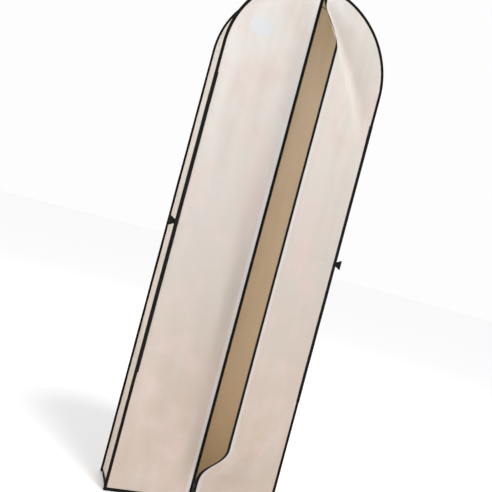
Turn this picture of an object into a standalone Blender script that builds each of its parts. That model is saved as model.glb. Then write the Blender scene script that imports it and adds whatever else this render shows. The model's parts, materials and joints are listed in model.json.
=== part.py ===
"""A long arched garment bag with a centre front zip, as separate sewn and moulded pieces.

Metres, +Z up, the front facing -Y. The origin is the hanger opening at the top of the arch, and the
bag hangs down from it. The right half of the front stands open from the slider to the top.
"""

import math

import bmesh
import bpy
from mathutils import Matrix, Vector

# Overall size
BAG_WIDTH = 0.610
BAG_HEIGHT = 1.860
BAG_DEPTH = 0.150

# Cloth and seams
CLOTH_THICKNESS = 0.0010
BINDING_WIDTH = 0.0080
BINDING_THICKNESS = 0.0020
SEAM_GAP = 0.0008
TOUCH_GAP = 0.0003
END_GAP_SHARE = 0.25

# Centre zip
ZIP_HALF_WIDTH = 0.0120
TAPE_THICKNESS = 0.0008
ROW_INNER = 0.0010
ROW_OUTER = 0.0030
ROW_THICKNESS = 0.0024
STOP_LENGTH = 0.0040
STOP_THICKNESS = 0.0032
STOP_INSET = 0.0080
SPLIT_HEIGHT = 0.0650
OPEN_ANGLE = math.radians(28.0)
LOWER_RAMP = 0.180
UPPER_RAMP = 0.100
FOLD_SIDE_DROP = 0.400
FOLD_TOP_DROP = 0.030

# Slider and pull
SLIDER_LENGTH = 0.0140
SLIDER_HALF_WIDTH = 0.0052
SLIDER_WALL = 0.0010
SLIDER_CLEARANCE = 0.0004
POST_HALF_WIDTH = 0.0005
POST_LENGTH = 0.0040
BRIDGE_HALF_LENGTH = 0.0032
BRIDGE_HALF_WIDTH = 0.0011
BRIDGE_HEIGHT = 0.0036
BRIDGE_WALL = 0.0010
PULL_THICKNESS = 0.0012
PULL_LENGTH = 0.0320
PULL_HALF_WIDTH = 0.0040
PULL_ARM_LENGTH = 0.0060
PULL_ARM_WIDTH = 0.0012

# Side tapes and carry loops
SIDE_TAPE_LENGTH = 1.040
SIDE_TAPE_THICKNESS = 0.0010
SIDE_TAPE_LAP = 0.0005
SIDE_TAPE_RETURN = 0.0050
LOOP_AXIS_OFFSET = 0.0045
LOOP_NECK_START = 0.0022
LOOP_NECK_HEIGHT = 0.0200
LOOP_NECK_THICKNESS = 0.0020
LOOP_EYE_START = 0.0085
LOOP_END = 0.0215
LOOP_HEIGHT = 0.0360
LOOP_DEPTH = 0.0090
LOOP_WALL = 0.0016

# Hanger opening and care label
HANGER_PATCH_HALF_WIDTH = 0.0350
HANGER_SLOT_WIDTH = 0.0400
HANGER_SLOT_DEPTH = 0.0140
SLOT_BINDING_WIDTH = 0.0060
SLOT_BINDING_THICKNESS = 0.0010
LABEL_WIDTH = 0.0220
LABEL_HEIGHT = 0.0340
LABEL_THICKNESS = 0.0005
LABEL_SEAM_OFFSET = 0.0060

# Fineness
ARC_STEPS = 16
RAMP_STEPS = 9
UPPER_STEPS = 14
SETTLING_ROUNDS = 40

# Places that follow from the sizes
HALF_WIDTH = BAG_WIDTH / 2
FRONT_Y = -BAG_DEPTH / 2
BACK_Y = BAG_DEPTH / 2
BOTTOM_Z = -BAG_HEIGHT
MIDDLE_Z = -BAG_HEIGHT / 2
PANEL_RADIUS = HALF_WIDTH - BINDING_WIDTH - SEAM_GAP
PANEL_BOTTOM_Z = BOTTOM_Z + BINDING_WIDTH + SEAM_GAP
PANEL_TOP_Z = PANEL_RADIUS - HALF_WIDTH
SPLIT_Z = BOTTOM_Z + SPLIT_HEIGHT
RAMP_END_Z = SPLIT_Z + LOWER_RAMP
GUSSET_HALF_DEPTH = BAG_DEPTH / 2 - BINDING_THICKNESS / 2 - TOUCH_GAP
GUSSET_INSET = 0.0005
TAPE_START = ROW_OUTER + TOUCH_GAP
PANEL_START = ZIP_HALF_WIDTH + TOUCH_GAP
BOTTOM_STOP_Z = PANEL_BOTTOM_Z + STOP_INSET
TOP_STOP_Z = PANEL_TOP_Z - STOP_INSET
SLIDER_Z = SPLIT_Z - SLIDER_LENGTH / 2
SLIDER_HALF_THICKNESS = ROW_THICKNESS / 2 + SLIDER_CLEARANCE + SLIDER_WALL
PULL_AXIS_Y = FRONT_Y - SLIDER_HALF_THICKNESS - (BRIDGE_HEIGHT - BRIDGE_WALL) / 2

FABRIC = ("nonwoven_fabric", (0.720, 0.640, 0.580), 0.90, 0.0)
BLACK_BINDING = ("binding_tape", (0.012, 0.008, 0.006), 0.85, 0.0)
BLACK_WEBBING = ("webbing", (0.013, 0.012, 0.011), 0.80, 0.0)
ZIP_TAPE = ("zip_tape", (0.010, 0.009, 0.009), 0.85, 0.0)
ZIP_COIL = ("zip_coil", (0.014, 0.013, 0.013), 0.45, 0.0)
ZIP_METAL = ("zip_metal", (0.060, 0.058, 0.056), 0.35, 1.0)
LABEL_CLOTH = ("label_cloth", (0.800, 0.790, 0.760), 0.70, 0.0)


def clear_scene():
    """Remove every object and collection that the file starts with."""
    for old in list(bpy.data.objects):
        bpy.data.objects.remove(old)
    for old in list(bpy.data.collections):
        bpy.data.collections.remove(old)


def new_collection(name):
    """Make a collection in the scene."""
    collection = bpy.data.collections.new(name)
    bpy.context.scene.collection.children.link(collection)
    return collection


clear_scene()
PARTS = new_collection("garment_bag")
CUTTERS = new_collection("cutters")


def finish_material(finish):
    """Return the material of a finish, made once."""
    name, colour, roughness, metallic = finish
    material = bpy.data.materials.get(name)
    if material is None:
        material = bpy.data.materials.new(name)
        material.use_nodes = True
        shader = material.node_tree.nodes["Principled BSDF"]
        shader.inputs["Base Color"].default_value = (*colour, 1.0)
        shader.inputs["Roughness"].default_value = roughness
        shader.inputs["Metallic"].default_value = metallic
    return material


def add_part(name, data, finish):
    """Link a new object for a piece, with its finish."""
    part = bpy.data.objects.new(name, data)
    data.materials.append(finish_material(finish))
    PARTS.objects.link(part)
    return part


def carry(piece, pivot):
    """Parent a piece to the empty on its joint axis without moving it."""
    piece.parent = pivot
    piece.matrix_parent_inverse = Matrix.Translation(pivot.location).inverted()


def pivot_at(name, place):
    """Make the empty that marks a joint axis."""
    pivot = bpy.data.objects.new(name, None)
    pivot.location = place
    pivot.empty_display_size = 0.02
    PARTS.objects.link(pivot)
    return pivot


def box_mesh(name, low, high):
    """Mesh of a box from its low corner to its high corner."""
    low = Vector(low)
    high = Vector(high)
    shape = bmesh.new()
    size = Matrix.Diagonal((*(high - low), 1.0))
    bmesh.ops.create_cube(shape, size=1.0, matrix=Matrix.Translation((low + high) / 2) @ size)
    mesh = bpy.data.meshes.new(name)
    shape.to_mesh(mesh)
    shape.free()
    return mesh


def box_part(name, low, high, finish):
    """A piece that is a plain box."""
    return add_part(name, box_mesh(name, low, high), finish)


def boolean_box(piece, name, low, high, operation):
    """Cut a box out of a piece, or join one to it."""
    tool = bpy.data.objects.new(name, box_mesh(name, low, high))
    tool.hide_render = True
    tool.display_type = "WIRE"
    CUTTERS.objects.link(tool)
    modifier = piece.modifiers.new(name, "BOOLEAN")
    modifier.operation = operation
    modifier.object = tool
    modifier.solver = "EXACT"


def outline_part(name, outlines, half_thickness, finish, place, upright=True):
    """A flat piece: closed outlines filled and thickened, in the XZ plane if upright, else in XY."""
    curve = bpy.data.curves.new(name, "CURVE")
    curve.dimensions = "2D"
    curve.fill_mode = "BOTH"
    curve.extrude = half_thickness
    for outline in outlines:
        spline = curve.splines.new("POLY")
        spline.points.add(len(outline) - 1)
        for point, (across, along) in zip(spline.points, outline):
            point.co = (across, along, 0.0, 1.0)
        spline.use_cyclic_u = True
    part = add_part(name, curve, finish)
    part.location = place
    if upright:
        part.rotation_euler = (math.pi / 2, 0.0, 0.0)
    return part


def grid_part(name, rows, thickness, finish):
    """A sheet through a grid of points, thickened evenly to both sides."""
    shape = bmesh.new()
    verts = [[shape.verts.new(point) for point in row] for row in rows]
    for lower, upper in zip(verts, verts[1:]):
        for a, b, c, d in zip(lower, lower[1:], upper[1:], upper):
            shape.faces.new((a, b, c, d))
    bmesh.ops.recalc_face_normals(shape, faces=shape.faces)
    mesh = bpy.data.meshes.new(name)
    shape.to_mesh(mesh)
    shape.free()
    part = add_part(name, mesh, finish)
    wall = part.modifiers.new("cloth", "SOLIDIFY")
    wall.thickness = thickness
    wall.offset = 0.0
    return part


# Outlines of the bag, seen from the front


def arch_points(inset, side, first_angle=0.0, last_angle=math.pi / 2, bottom=None):
    """Half outline from the bottom of one side up and over the arch, inset from the bag's edge."""
    radius = HALF_WIDTH - inset
    steps = ARC_STEPS
    points = [] if bottom is None else [(side * radius, bottom)]
    for step in range(steps + 1):
        angle = first_angle + (last_angle - first_angle) * step / steps
        points.append((side * radius * math.cos(angle), radius * math.sin(angle) - HALF_WIDTH))
    return points


def full_arch(inset, bottom):
    """Whole outline from the bottom left over the arch to the bottom right."""
    left = arch_points(inset, -1, bottom=bottom)
    right = arch_points(inset, 1, bottom=bottom)
    return left + right[-2::-1]


def arch_height(across, radius):
    """Height of the faceted arch of a radius above a point of the width."""
    step_angle = math.pi / 2 / ARC_STEPS
    place = math.asin(min(across / radius, 1.0)) / step_angle
    step = min(int(place), ARC_STEPS - 1)
    x0, x1 = (radius * math.sin(step_angle * k) for k in (step, step + 1))
    z0, z1 = (radius * math.cos(step_angle * k) for k in (step, step + 1))
    return z0 + (z1 - z0) * (across - x0) / (x1 - x0) - HALF_WIDTH


# How far the front stands open


def smooth(share):
    """Smooth step from 0 to 1."""
    share = min(max(share, 0.0), 1.0)
    return share * share * (3 - 2 * share)


FOLD_START = Vector((PANEL_RADIUS, -FOLD_SIDE_DROP))
FOLD_END = Vector((0.0, -FOLD_TOP_DROP))
FOLD_LINE = (FOLD_END - FOLD_START).normalized()
FOLD_NORMAL = Vector((-FOLD_LINE.y, FOLD_LINE.x))


def below_fold(across, height):
    """Distance of a point of the front below the slanted fold, towards the zip."""
    return (Vector((across, height)) - FOLD_START).dot(FOLD_NORMAL)


def fold_end_height(across, angle):
    """Height at which a half swung by an angle has left the slanted fold behind."""
    swung_across = PANEL_RADIUS - (PANEL_RADIUS - across) * math.cos(angle)
    on_fold = FOLD_START.y + (swung_across - FOLD_START.x) * FOLD_LINE.y / FOLD_LINE.x
    return on_fold + UPPER_RAMP / FOLD_NORMAL.y


def open_share(across, height):
    """How far a point turns with the half: 0 where it is sewn down, 1 where it swings whole."""
    rise = smooth((height - SPLIT_Z) / LOWER_RAMP)
    fall = smooth(below_fold(across, height) / UPPER_RAMP)
    return min(rise, fall)


def swung(side, across, height, angle):
    """A point of one front half, turned about its side seam by its share at the place it comes to."""
    reach = PANEL_RADIUS - across
    share = 0.0
    for _ in range(SETTLING_ROUNDS):
        moved_across = PANEL_RADIUS - reach * math.cos(angle * share)
        share = (share + open_share(moved_across, height)) / 2
    turn = angle * share
    x = side * (PANEL_RADIUS - reach * math.cos(turn))
    return (x, FRONT_Y - reach * math.sin(turn), height)


def columns(start, end):
    """Distances from the centre line at which a front piece has its points."""
    step_angle = math.pi / 2 / ARC_STEPS
    seams = [PANEL_RADIUS * math.sin(step_angle * step) for step in range(1, ARC_STEPS)]
    return [start] + [x for x in seams if start < x < end] + [end]


def front_piece(name, side, span, zone, thickness, finish, top_limit=0.0, bottom_limit=PANEL_BOTTOM_Z):
    """One piece of a front half: lower, middle or upper, between two distances from the centre."""
    angle = OPEN_ANGLE if side > 0 else 0.0
    end_gap = TOUCH_GAP / 2 + thickness * END_GAP_SHARE
    lines = []
    for across in columns(*span):
        ramp_end = fold_end_height(across, angle)
        top = arch_height(across, PANEL_RADIUS)
        if zone == "lower":
            rise = RAMP_END_Z - end_gap - SPLIT_Z
            heights = [bottom_limit] + [SPLIT_Z + rise * k / RAMP_STEPS for k in range(RAMP_STEPS + 1)]
        elif zone == "middle":
            heights = [RAMP_END_Z + end_gap, ramp_end - end_gap]
        else:
            low = ramp_end + end_gap
            heights = [low + (top - low) * k / UPPER_STEPS for k in range(UPPER_STEPS)]
            heights = [height for height in heights if height < top_limit] + [min(top, top_limit)]
        lines.append([swung(side, across, height, angle) for height in heights])
    return grid_part(name, lines, thickness, finish)


# The shell


def arch_sheet(name, radius, half_width, half_depth, thickness, finish):
    """A sheet bent over the top of the arch."""
    half_angle = half_width / radius
    lines = []
    for step in range(-4, 5):
        angle = half_angle * step / 4
        x = radius * math.sin(angle)
        z = radius * math.cos(angle) - HALF_WIDTH
        lines.append([(x, -half_depth, z), (x, half_depth, z)])
    return grid_part(name, lines, thickness, finish)


def build_back():
    """The back panel inside its binding."""
    outline = full_arch(BINDING_WIDTH + TOUCH_GAP, BOTTOM_Z + BINDING_WIDTH + TOUCH_GAP)
    outline_part("back_panel", [outline], CLOTH_THICKNESS / 2, FABRIC, (0.0, BACK_Y, 0.0))


def build_bindings():
    """The black binding of the front and back edges and of the two short bottom edges."""
    leg_bottom = BOTTOM_Z + BINDING_WIDTH + TOUCH_GAP
    outer = full_arch(0.0, leg_bottom)
    inner = full_arch(BINDING_WIDTH, leg_bottom)
    half = BINDING_THICKNESS / 2
    for name, y in (("front", FRONT_Y), ("back", BACK_Y)):
        outline_part(name + "_binding", [outer + inner[::-1]], half, BLACK_BINDING, (0.0, y, 0.0))
        low = (-HALF_WIDTH, y - half, BOTTOM_Z)
        high = (HALF_WIDTH, y + half, BOTTOM_Z + BINDING_WIDTH)
        box_part(name + "_base_binding", low, high, BLACK_BINDING)
    for name, side in (("left", -1), ("right", 1)):
        inside = HALF_WIDTH - GUSSET_INSET + TOUCH_GAP
        outside = inside + BINDING_THICKNESS / 2
        low = (min(side * inside, side * outside), -GUSSET_HALF_DEPTH, BOTTOM_Z)
        high = (max(side * inside, side * outside), GUSSET_HALF_DEPTH, BOTTOM_Z + BINDING_WIDTH)
        box_part(name + "_base_binding", low, high, BLACK_BINDING)


def build_gussets():
    """The two side strips, which run up the sides and over the arch to the hanger patch."""
    outside = GUSSET_INSET
    inside = GUSSET_INSET + CLOTH_THICKNESS
    last = math.pi / 2 - (HANGER_PATCH_HALF_WIDTH + TOUCH_GAP) / HALF_WIDTH
    bottom = BOTTOM_Z + inside + TOUCH_GAP
    for name, side in (("gusset_left", -1), ("gusset_right", 1)):
        outer = arch_points(outside, side, last_angle=last, bottom=bottom)
        inner = arch_points(inside, side, last_angle=last, bottom=bottom)
        outline_part(name, [outer + inner[::-1]], GUSSET_HALF_DEPTH, FABRIC, (0.0, 0.0, 0.0))


def build_base():
    """The bottom strip between the two side strips."""
    reach = HALF_WIDTH - GUSSET_INSET
    low = (-reach, -GUSSET_HALF_DEPTH, BOTTOM_Z + GUSSET_INSET)
    high = (reach, GUSSET_HALF_DEPTH, BOTTOM_Z + GUSSET_INSET + CLOTH_THICKNESS)
    box_part("base_panel", low, high, FABRIC)


def build_hanger_opening():
    """The doubled patch at the top with its bound slot for a hanger hook."""
    radius = HALF_WIDTH - GUSSET_INSET - CLOTH_THICKNESS / 2
    half_width = HANGER_PATCH_HALF_WIDTH - TOUCH_GAP
    patch = arch_sheet("hanger_patch", radius, half_width, GUSSET_HALF_DEPTH, CLOTH_THICKNESS, FABRIC)
    ring_radius = radius + (CLOTH_THICKNESS + SLOT_BINDING_THICKNESS) / 2 + TOUCH_GAP
    ring_half_width = HANGER_SLOT_WIDTH / 2 + SLOT_BINDING_WIDTH
    ring_half_depth = HANGER_SLOT_DEPTH / 2 + SLOT_BINDING_WIDTH
    ring_size = (ring_half_width, ring_half_depth, SLOT_BINDING_THICKNESS)
    ring = arch_sheet("hanger_slot_binding", ring_radius, *ring_size, BLACK_BINDING)
    half_slot = (HANGER_SLOT_WIDTH / 2, HANGER_SLOT_DEPTH / 2)
    for piece, name in ((patch, "patch_slot"), (ring, "binding_slot")):
        low = (-half_slot[0], -half_slot[1], -BINDING_WIDTH)
        high = (half_slot[0], half_slot[1], BINDING_WIDTH)
        boolean_box(piece, name, low, high, "DIFFERENCE")


# The front and its zip


def build_front_halves(pivots):
    """Both front halves, each of a lower, middle and upper piece with its zip tape and coil."""
    row_bottom = BOTTOM_STOP_Z + STOP_LENGTH / 2 + TOUCH_GAP
    row_top = TOP_STOP_Z - STOP_LENGTH / 2 - TOUCH_GAP
    for word, side in (("left", -1), ("right", 1)):
        for zone in ("lower", "middle", "upper"):
            panel_span = (PANEL_START, PANEL_RADIUS)
            panel_name = "front_" + word + "_" + zone
            panel = front_piece(panel_name, side, panel_span, zone, CLOTH_THICKNESS, FABRIC)
            tape_name = "zip_tape_" + word + "_" + zone
            tape_span = (TAPE_START, ZIP_HALF_WIDTH)
            tape = front_piece(tape_name, side, tape_span, zone, TAPE_THICKNESS, ZIP_TAPE)
            row = front_piece(
                "zip_coil_" + word + "_" + zone,
                side,
                (ROW_INNER, ROW_OUTER),
                zone,
                ROW_THICKNESS,
                ZIP_COIL,
                top_limit=row_top,
                bottom_limit=row_bottom,
            )
            if zone == "middle":
                for piece in (panel, tape, row):
                    carry(piece, pivots[word])


def build_stops():
    """The bottom stop across both coils and a top stop on each."""
    half_y = STOP_THICKNESS / 2
    half_z = STOP_LENGTH / 2
    low = (-ROW_OUTER, FRONT_Y - half_y, BOTTOM_STOP_Z - half_z)
    high = (ROW_OUTER, FRONT_Y + half_y, BOTTOM_STOP_Z + half_z)
    box_part("zip_bottom_stop", low, high, ZIP_METAL)
    for word, side in (("left", -1), ("right", 1)):
        ends = sorted((side * ROW_INNER, side * ROW_OUTER))
        low = (ends[0], FRONT_Y - half_y, TOP_STOP_Z - half_z)
        high = (ends[1], FRONT_Y + half_y, TOP_STOP_Z + half_z)
        box_part("zip_top_stop_" + word, low, high, ZIP_METAL)


def build_slider(pivot):
    """The slider: a hollow body that both coils run through, a divider post and a bridge."""
    half = SLIDER_HALF_THICKNESS
    bottom = SLIDER_Z - SLIDER_LENGTH / 2
    top = SLIDER_Z + SLIDER_LENGTH / 2
    low = (-SLIDER_HALF_WIDTH, FRONT_Y - half, bottom)
    high = (SLIDER_HALF_WIDTH, FRONT_Y + half, top)
    slider = box_part("zip_slider", low, high, ZIP_METAL)
    front = FRONT_Y - half
    low = (-BRIDGE_HALF_WIDTH, front - BRIDGE_HEIGHT, SLIDER_Z - BRIDGE_HALF_LENGTH)
    high = (BRIDGE_HALF_WIDTH, front + SLIDER_WALL / 2, SLIDER_Z + BRIDGE_HALF_LENGTH)
    boolean_box(slider, "bridge", low, high, "UNION")
    inner = BRIDGE_HALF_LENGTH - BRIDGE_WALL
    low = (-SLIDER_HALF_WIDTH, front - BRIDGE_HEIGHT + BRIDGE_WALL, SLIDER_Z - inner)
    high = (SLIDER_HALF_WIDTH, front - TOUCH_GAP / 3, SLIDER_Z + inner)
    boolean_box(slider, "bridge_eye", low, high, "DIFFERENCE")
    channel = ROW_THICKNESS / 2 + SLIDER_CLEARANCE
    slot = TAPE_THICKNESS / 2 + SLIDER_CLEARANCE
    row_edge = ROW_OUTER + SLIDER_CLEARANCE
    past = SLIDER_LENGTH
    for word, side in (("left", -1), ("right", 1)):
        ends = sorted((side * POST_HALF_WIDTH, side * row_edge))
        low = (ends[0], FRONT_Y - channel, bottom - past)
        high = (ends[1], FRONT_Y + channel, top + past)
        boolean_box(slider, "coil_channel_" + word, low, high, "DIFFERENCE")
        ends = sorted((side * (row_edge - SLIDER_CLEARANCE), side * 2 * SLIDER_HALF_WIDTH))
        low = (ends[0], FRONT_Y - slot, bottom - past)
        high = (ends[1], FRONT_Y + slot, top + past)
        boolean_box(slider, "tape_slot_" + word, low, high, "DIFFERENCE")
    low = (-ROW_INNER, FRONT_Y - channel, bottom - past)
    high = (ROW_INNER, FRONT_Y + channel, top - POST_LENGTH)
    boolean_box(slider, "closed_channel", low, high, "DIFFERENCE")
    carry(slider, pivot)


def build_pull(pivot):
    """The pull: a flat tab with an eye whose top bar lies under the slider's bridge."""
    bar = PULL_THICKNESS / 2
    eye_half = BRIDGE_HALF_WIDTH + SLIDER_CLEARANCE
    neck_half = eye_half + PULL_ARM_WIDTH
    half_neck = [(neck_half, bar), (neck_half, -PULL_ARM_LENGTH)]
    corner = PULL_HALF_WIDTH / 2
    half_tab = [(PULL_HALF_WIDTH, -PULL_ARM_LENGTH - corner), (PULL_HALF_WIDTH, corner - PULL_LENGTH)]
    half_tab.append((corner, -PULL_LENGTH))
    half = half_neck + half_tab
    outline = half + [(-x, z) for x, z in reversed(half)]
    eye_bottom = -PULL_ARM_LENGTH + bar
    eye = [(-eye_half, -bar), (eye_half, -bar), (eye_half, eye_bottom), (-eye_half, eye_bottom)]
    place = (0.0, PULL_AXIS_Y, SLIDER_Z)
    pull = outline_part("zip_pull", [outline, eye], PULL_THICKNESS / 2, ZIP_METAL, place)
    carry(pull, pivot)


# Side tapes, carry loops and label


def build_side_tapes():
    """The webbing that wraps each front side seam, centred on the fold in the middle."""
    front_face = FRONT_Y - BINDING_THICKNESS / 2 - TOUCH_GAP
    outer = HALF_WIDTH + TOUCH_GAP + SIDE_TAPE_THICKNESS
    inner = HALF_WIDTH + TOUCH_GAP
    edge = HALF_WIDTH - (BINDING_WIDTH + SIDE_TAPE_LAP)
    back = FRONT_Y + SIDE_TAPE_RETURN
    outline = [
        (edge, front_face - SIDE_TAPE_THICKNESS),
        (outer, front_face - SIDE_TAPE_THICKNESS),
        (outer, back),
        (inner, back),
        (inner, front_face),
        (edge, front_face),
    ]
    for word, side in (("left", -1), ("right", 1)):
        shape = [(side * x, y) for x, y in outline]
        place = (0.0, 0.0, MIDDLE_Z)
        outline_part("side_tape_" + word, [shape], SIDE_TAPE_LENGTH / 2, BLACK_WEBBING, place, upright=False)


def build_loops(pivots):
    """The short carry loops that stand out of the side seams at half height."""
    for word, side in (("left", -1), ("right", 1)):
        ends = sorted((side * (HALF_WIDTH + LOOP_EYE_START), side * (HALF_WIDTH + LOOP_END)))
        half_depth = LOOP_DEPTH / 2
        half_height = LOOP_HEIGHT / 2
        low = (ends[0], FRONT_Y - half_depth, MIDDLE_Z - half_height)
        high = (ends[1], FRONT_Y + half_depth, MIDDLE_Z + half_height)
        loop = box_part("carry_loop_" + word, low, high, BLACK_WEBBING)
        ends = sorted((side * (HALF_WIDTH + LOOP_NECK_START), side * (HALF_WIDTH + LOOP_EYE_START + LOOP_WALL / 2)))
        half_neck = (LOOP_NECK_THICKNESS / 2, LOOP_NECK_HEIGHT / 2)
        neck_low = (ends[0], FRONT_Y - half_neck[0], MIDDLE_Z - half_neck[1])
        neck_high = (ends[1], FRONT_Y + half_neck[0], MIDDLE_Z + half_neck[1])
        boolean_box(loop, "neck_" + word, neck_low, neck_high, "UNION")
        eye_low = (low[0] + LOOP_WALL, low[1] + LOOP_WALL, low[2] - LOOP_WALL)
        eye_high = (high[0] - LOOP_WALL, high[1] - LOOP_WALL, high[2] + LOOP_WALL)
        boolean_box(loop, "eye_" + word, eye_low, eye_high, "DIFFERENCE")
        carry(loop, pivots[word])


def build_label():
    """The blank care label, caught in the right side seam just above the bottom binding."""
    back = FRONT_Y - CLOTH_THICKNESS / 2 - TOUCH_GAP
    right = PANEL_RADIUS - LABEL_SEAM_OFFSET
    low = (right - LABEL_WIDTH, back - LABEL_THICKNESS, PANEL_BOTTOM_Z)
    high = (right, back, PANEL_BOTTOM_Z + LABEL_HEIGHT)
    box_part("care_label", low, high, LABEL_CLOTH)


def build_bag():
    """Build every piece and the empties on the joint axes."""
    front_pivots = {}
    loop_pivots = {}
    for word, side in (("left", -1), ("right", 1)):
        seam = (side * PANEL_RADIUS, FRONT_Y, MIDDLE_Z)
        front_pivots[word] = pivot_at("front_" + word + "_hinge_line", seam)
        loop_axis = (side * (HALF_WIDTH + LOOP_AXIS_OFFSET), FRONT_Y, MIDDLE_Z)
        loop_pivots[word] = pivot_at("carry_loop_" + word + "_seam", loop_axis)
    slider_pivot = pivot_at("zip_line", (0.0, FRONT_Y, SLIDER_Z))
    pull_pivot = pivot_at("pull_bar", (0.0, PULL_AXIS_Y, SLIDER_Z))
    build_back()
    build_gussets()
    build_base()
    build_bindings()
    build_hanger_opening()
    build_front_halves(front_pivots)
    build_stops()
    build_slider(slider_pivot)
    build_pull(pull_pivot)
    build_side_tapes()
    build_loops(loop_pivots)
    build_label()


build_bag()
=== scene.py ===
"""Looks of a long arched garment bag: nonwoven cloth, black bindings, an open centre zip, carry loops.

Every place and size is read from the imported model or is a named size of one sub-assembly below.
Metres, +Z up, the front facing -Y, the hanger opening at the origin.
"""

import json
import logging
import math
from contextlib import contextmanager
from dataclasses import dataclass, field, replace
from enum import Enum
from typing import Callable, Iterator, Sequence

import bmesh
import bpy
import numpy as np
from mathutils import Matrix, Vector


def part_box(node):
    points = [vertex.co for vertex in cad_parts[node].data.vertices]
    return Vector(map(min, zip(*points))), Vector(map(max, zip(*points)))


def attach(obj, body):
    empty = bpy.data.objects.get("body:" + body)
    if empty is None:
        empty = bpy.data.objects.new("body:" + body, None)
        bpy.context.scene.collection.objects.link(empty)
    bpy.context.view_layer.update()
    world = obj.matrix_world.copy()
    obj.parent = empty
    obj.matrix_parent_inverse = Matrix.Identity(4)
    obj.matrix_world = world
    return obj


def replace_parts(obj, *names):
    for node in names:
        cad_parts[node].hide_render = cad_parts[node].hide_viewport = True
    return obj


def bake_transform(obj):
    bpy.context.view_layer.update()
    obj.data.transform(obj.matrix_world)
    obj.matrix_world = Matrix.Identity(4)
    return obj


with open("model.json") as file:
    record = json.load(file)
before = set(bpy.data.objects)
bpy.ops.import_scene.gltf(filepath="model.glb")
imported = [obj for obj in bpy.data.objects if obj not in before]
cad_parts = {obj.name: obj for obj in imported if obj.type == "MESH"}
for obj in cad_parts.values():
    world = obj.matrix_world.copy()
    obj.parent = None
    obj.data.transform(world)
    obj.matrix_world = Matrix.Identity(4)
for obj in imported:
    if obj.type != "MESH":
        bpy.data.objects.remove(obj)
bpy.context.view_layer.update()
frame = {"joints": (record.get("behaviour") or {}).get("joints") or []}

logging.basicConfig(level=logging.INFO, format="%(message)s")
LOG = logging.getLogger("garment_bag")

MILLIMETRE = 0.001
WELD = 0.001 * MILLIMETRE  # points nearer than this are one
THREAD = 0.55 * MILLIMETRE  # width of a stitch
RUN = "run"  # name of the UV map that holds distances along and across a piece, in metres


class Side(Enum):
    """The left or right half, as the sign of X."""

    LEFT = -1
    RIGHT = 1

    @property
    def word(self) -> str:
        """The side's name as CAD nodes spell it."""
        return self.name.lower()


class Zone(Enum):
    """The two pieces that each front half is made of, which meet at half height."""

    LOWER = "lower"
    UPPER = "upper"


# ---------------------------------------------------------------------------------------------
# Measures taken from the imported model


def joint(name: str) -> dict:
    """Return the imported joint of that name."""
    return next(j for j in frame["joints"] if j["name"] == name)


@dataclass(frozen=True)
class BagMeasures:
    """Outer sizes and seam lines of the bag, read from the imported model."""

    half_width: float
    top: float
    bottom: float
    front: float
    back: float
    hinge: float
    open_angle: float
    split: float
    lower_ramp_end: float
    upper_fold_drop: float = 0.400
    upper_fold_top: float = 0.030
    upper_ramp: float = 0.100

    @classmethod
    def read(cls) -> "BagMeasures":
        """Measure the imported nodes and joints.

        Returns:
            The measures, in metres and radians.
        """
        low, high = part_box("front_binding")
        base_low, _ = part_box("front_base_binding")
        back_low, back_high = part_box("back_binding")
        swing = joint("right_flap_swing")
        return cls(
            half_width=high.x,
            top=high.z,
            bottom=base_low.z,
            front=(low.y + high.y) / 2,
            back=(back_low.y + back_high.y) / 2,
            hinge=swing["pos_m"][0],
            open_angle=math.radians(-min(swing["range_deg"])),
            split=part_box("zip_slider")[1].z,
            lower_ramp_end=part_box("front_right_middle")[0].z,
        )

    @property
    def middle(self) -> float:
        """Half height, where the bag folds in two."""
        return (self.top + self.bottom) / 2

    @property
    def spring(self) -> float:
        """Height at which the straight sides go over into the arch."""
        return self.top - self.half_width

    @property
    def half_depth(self) -> float:
        """Half the distance between the front and the back."""
        return (self.back - self.front) / 2

    @property
    def seam_inset(self) -> float:
        """Distance from the outer edge to the side seam that the halves turn about."""
        return self.half_width - self.hinge

    def half_width_at(self, height: np.ndarray, inset: float) -> np.ndarray:
        """Half the width of the front outline at a height, inset from the edge.

        Args:
            height: Height, in metres.
            inset: Distance from the outer edge.

        Returns:
            Half the width there.
        """
        radius = self.half_width - inset
        above = np.clip(np.asarray(height) - self.spring, 0.0, radius)
        return np.sqrt(np.maximum(radius**2 - above**2, 0.0))


BAG = BagMeasures.read()
SEAM_STAND = 7.6 * MILLIMETRE  # how far a bound seam stands out past the gusset's cloth


# ---------------------------------------------------------------------------------------------
# Small numeric helpers


def smooth(share: np.ndarray) -> np.ndarray:
    """Smooth step of values, from 0 to 1."""
    share = np.clip(share, 0.0, 1.0)
    return share * share * (3 - 2 * share)


def cloud(u: np.ndarray, v: np.ndarray, seed: int) -> np.ndarray:
    """Smooth random field between -1 and 1 over unit cells.

    Args:
        u: First coordinate, in cells.
        v: Second coordinate, in cells.
        seed: Seed of the lattice of random values.

    Returns:
        The field at each point.
    """
    lattice = np.random.default_rng(seed).uniform(-1, 1, (64, 64))
    i, j = np.floor(u).astype(int), np.floor(v).astype(int)
    fu, fv = smooth(u - i), smooth(v - j)
    corner = [[lattice[(i + a) % 64, (j + b) % 64] for b in (0, 1)] for a in (0, 1)]
    low = corner[0][0] * (1 - fu) + corner[1][0] * fu
    high = corner[0][1] * (1 - fu) + corner[1][1] * fu
    return low * (1 - fv) + high * fv


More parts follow.
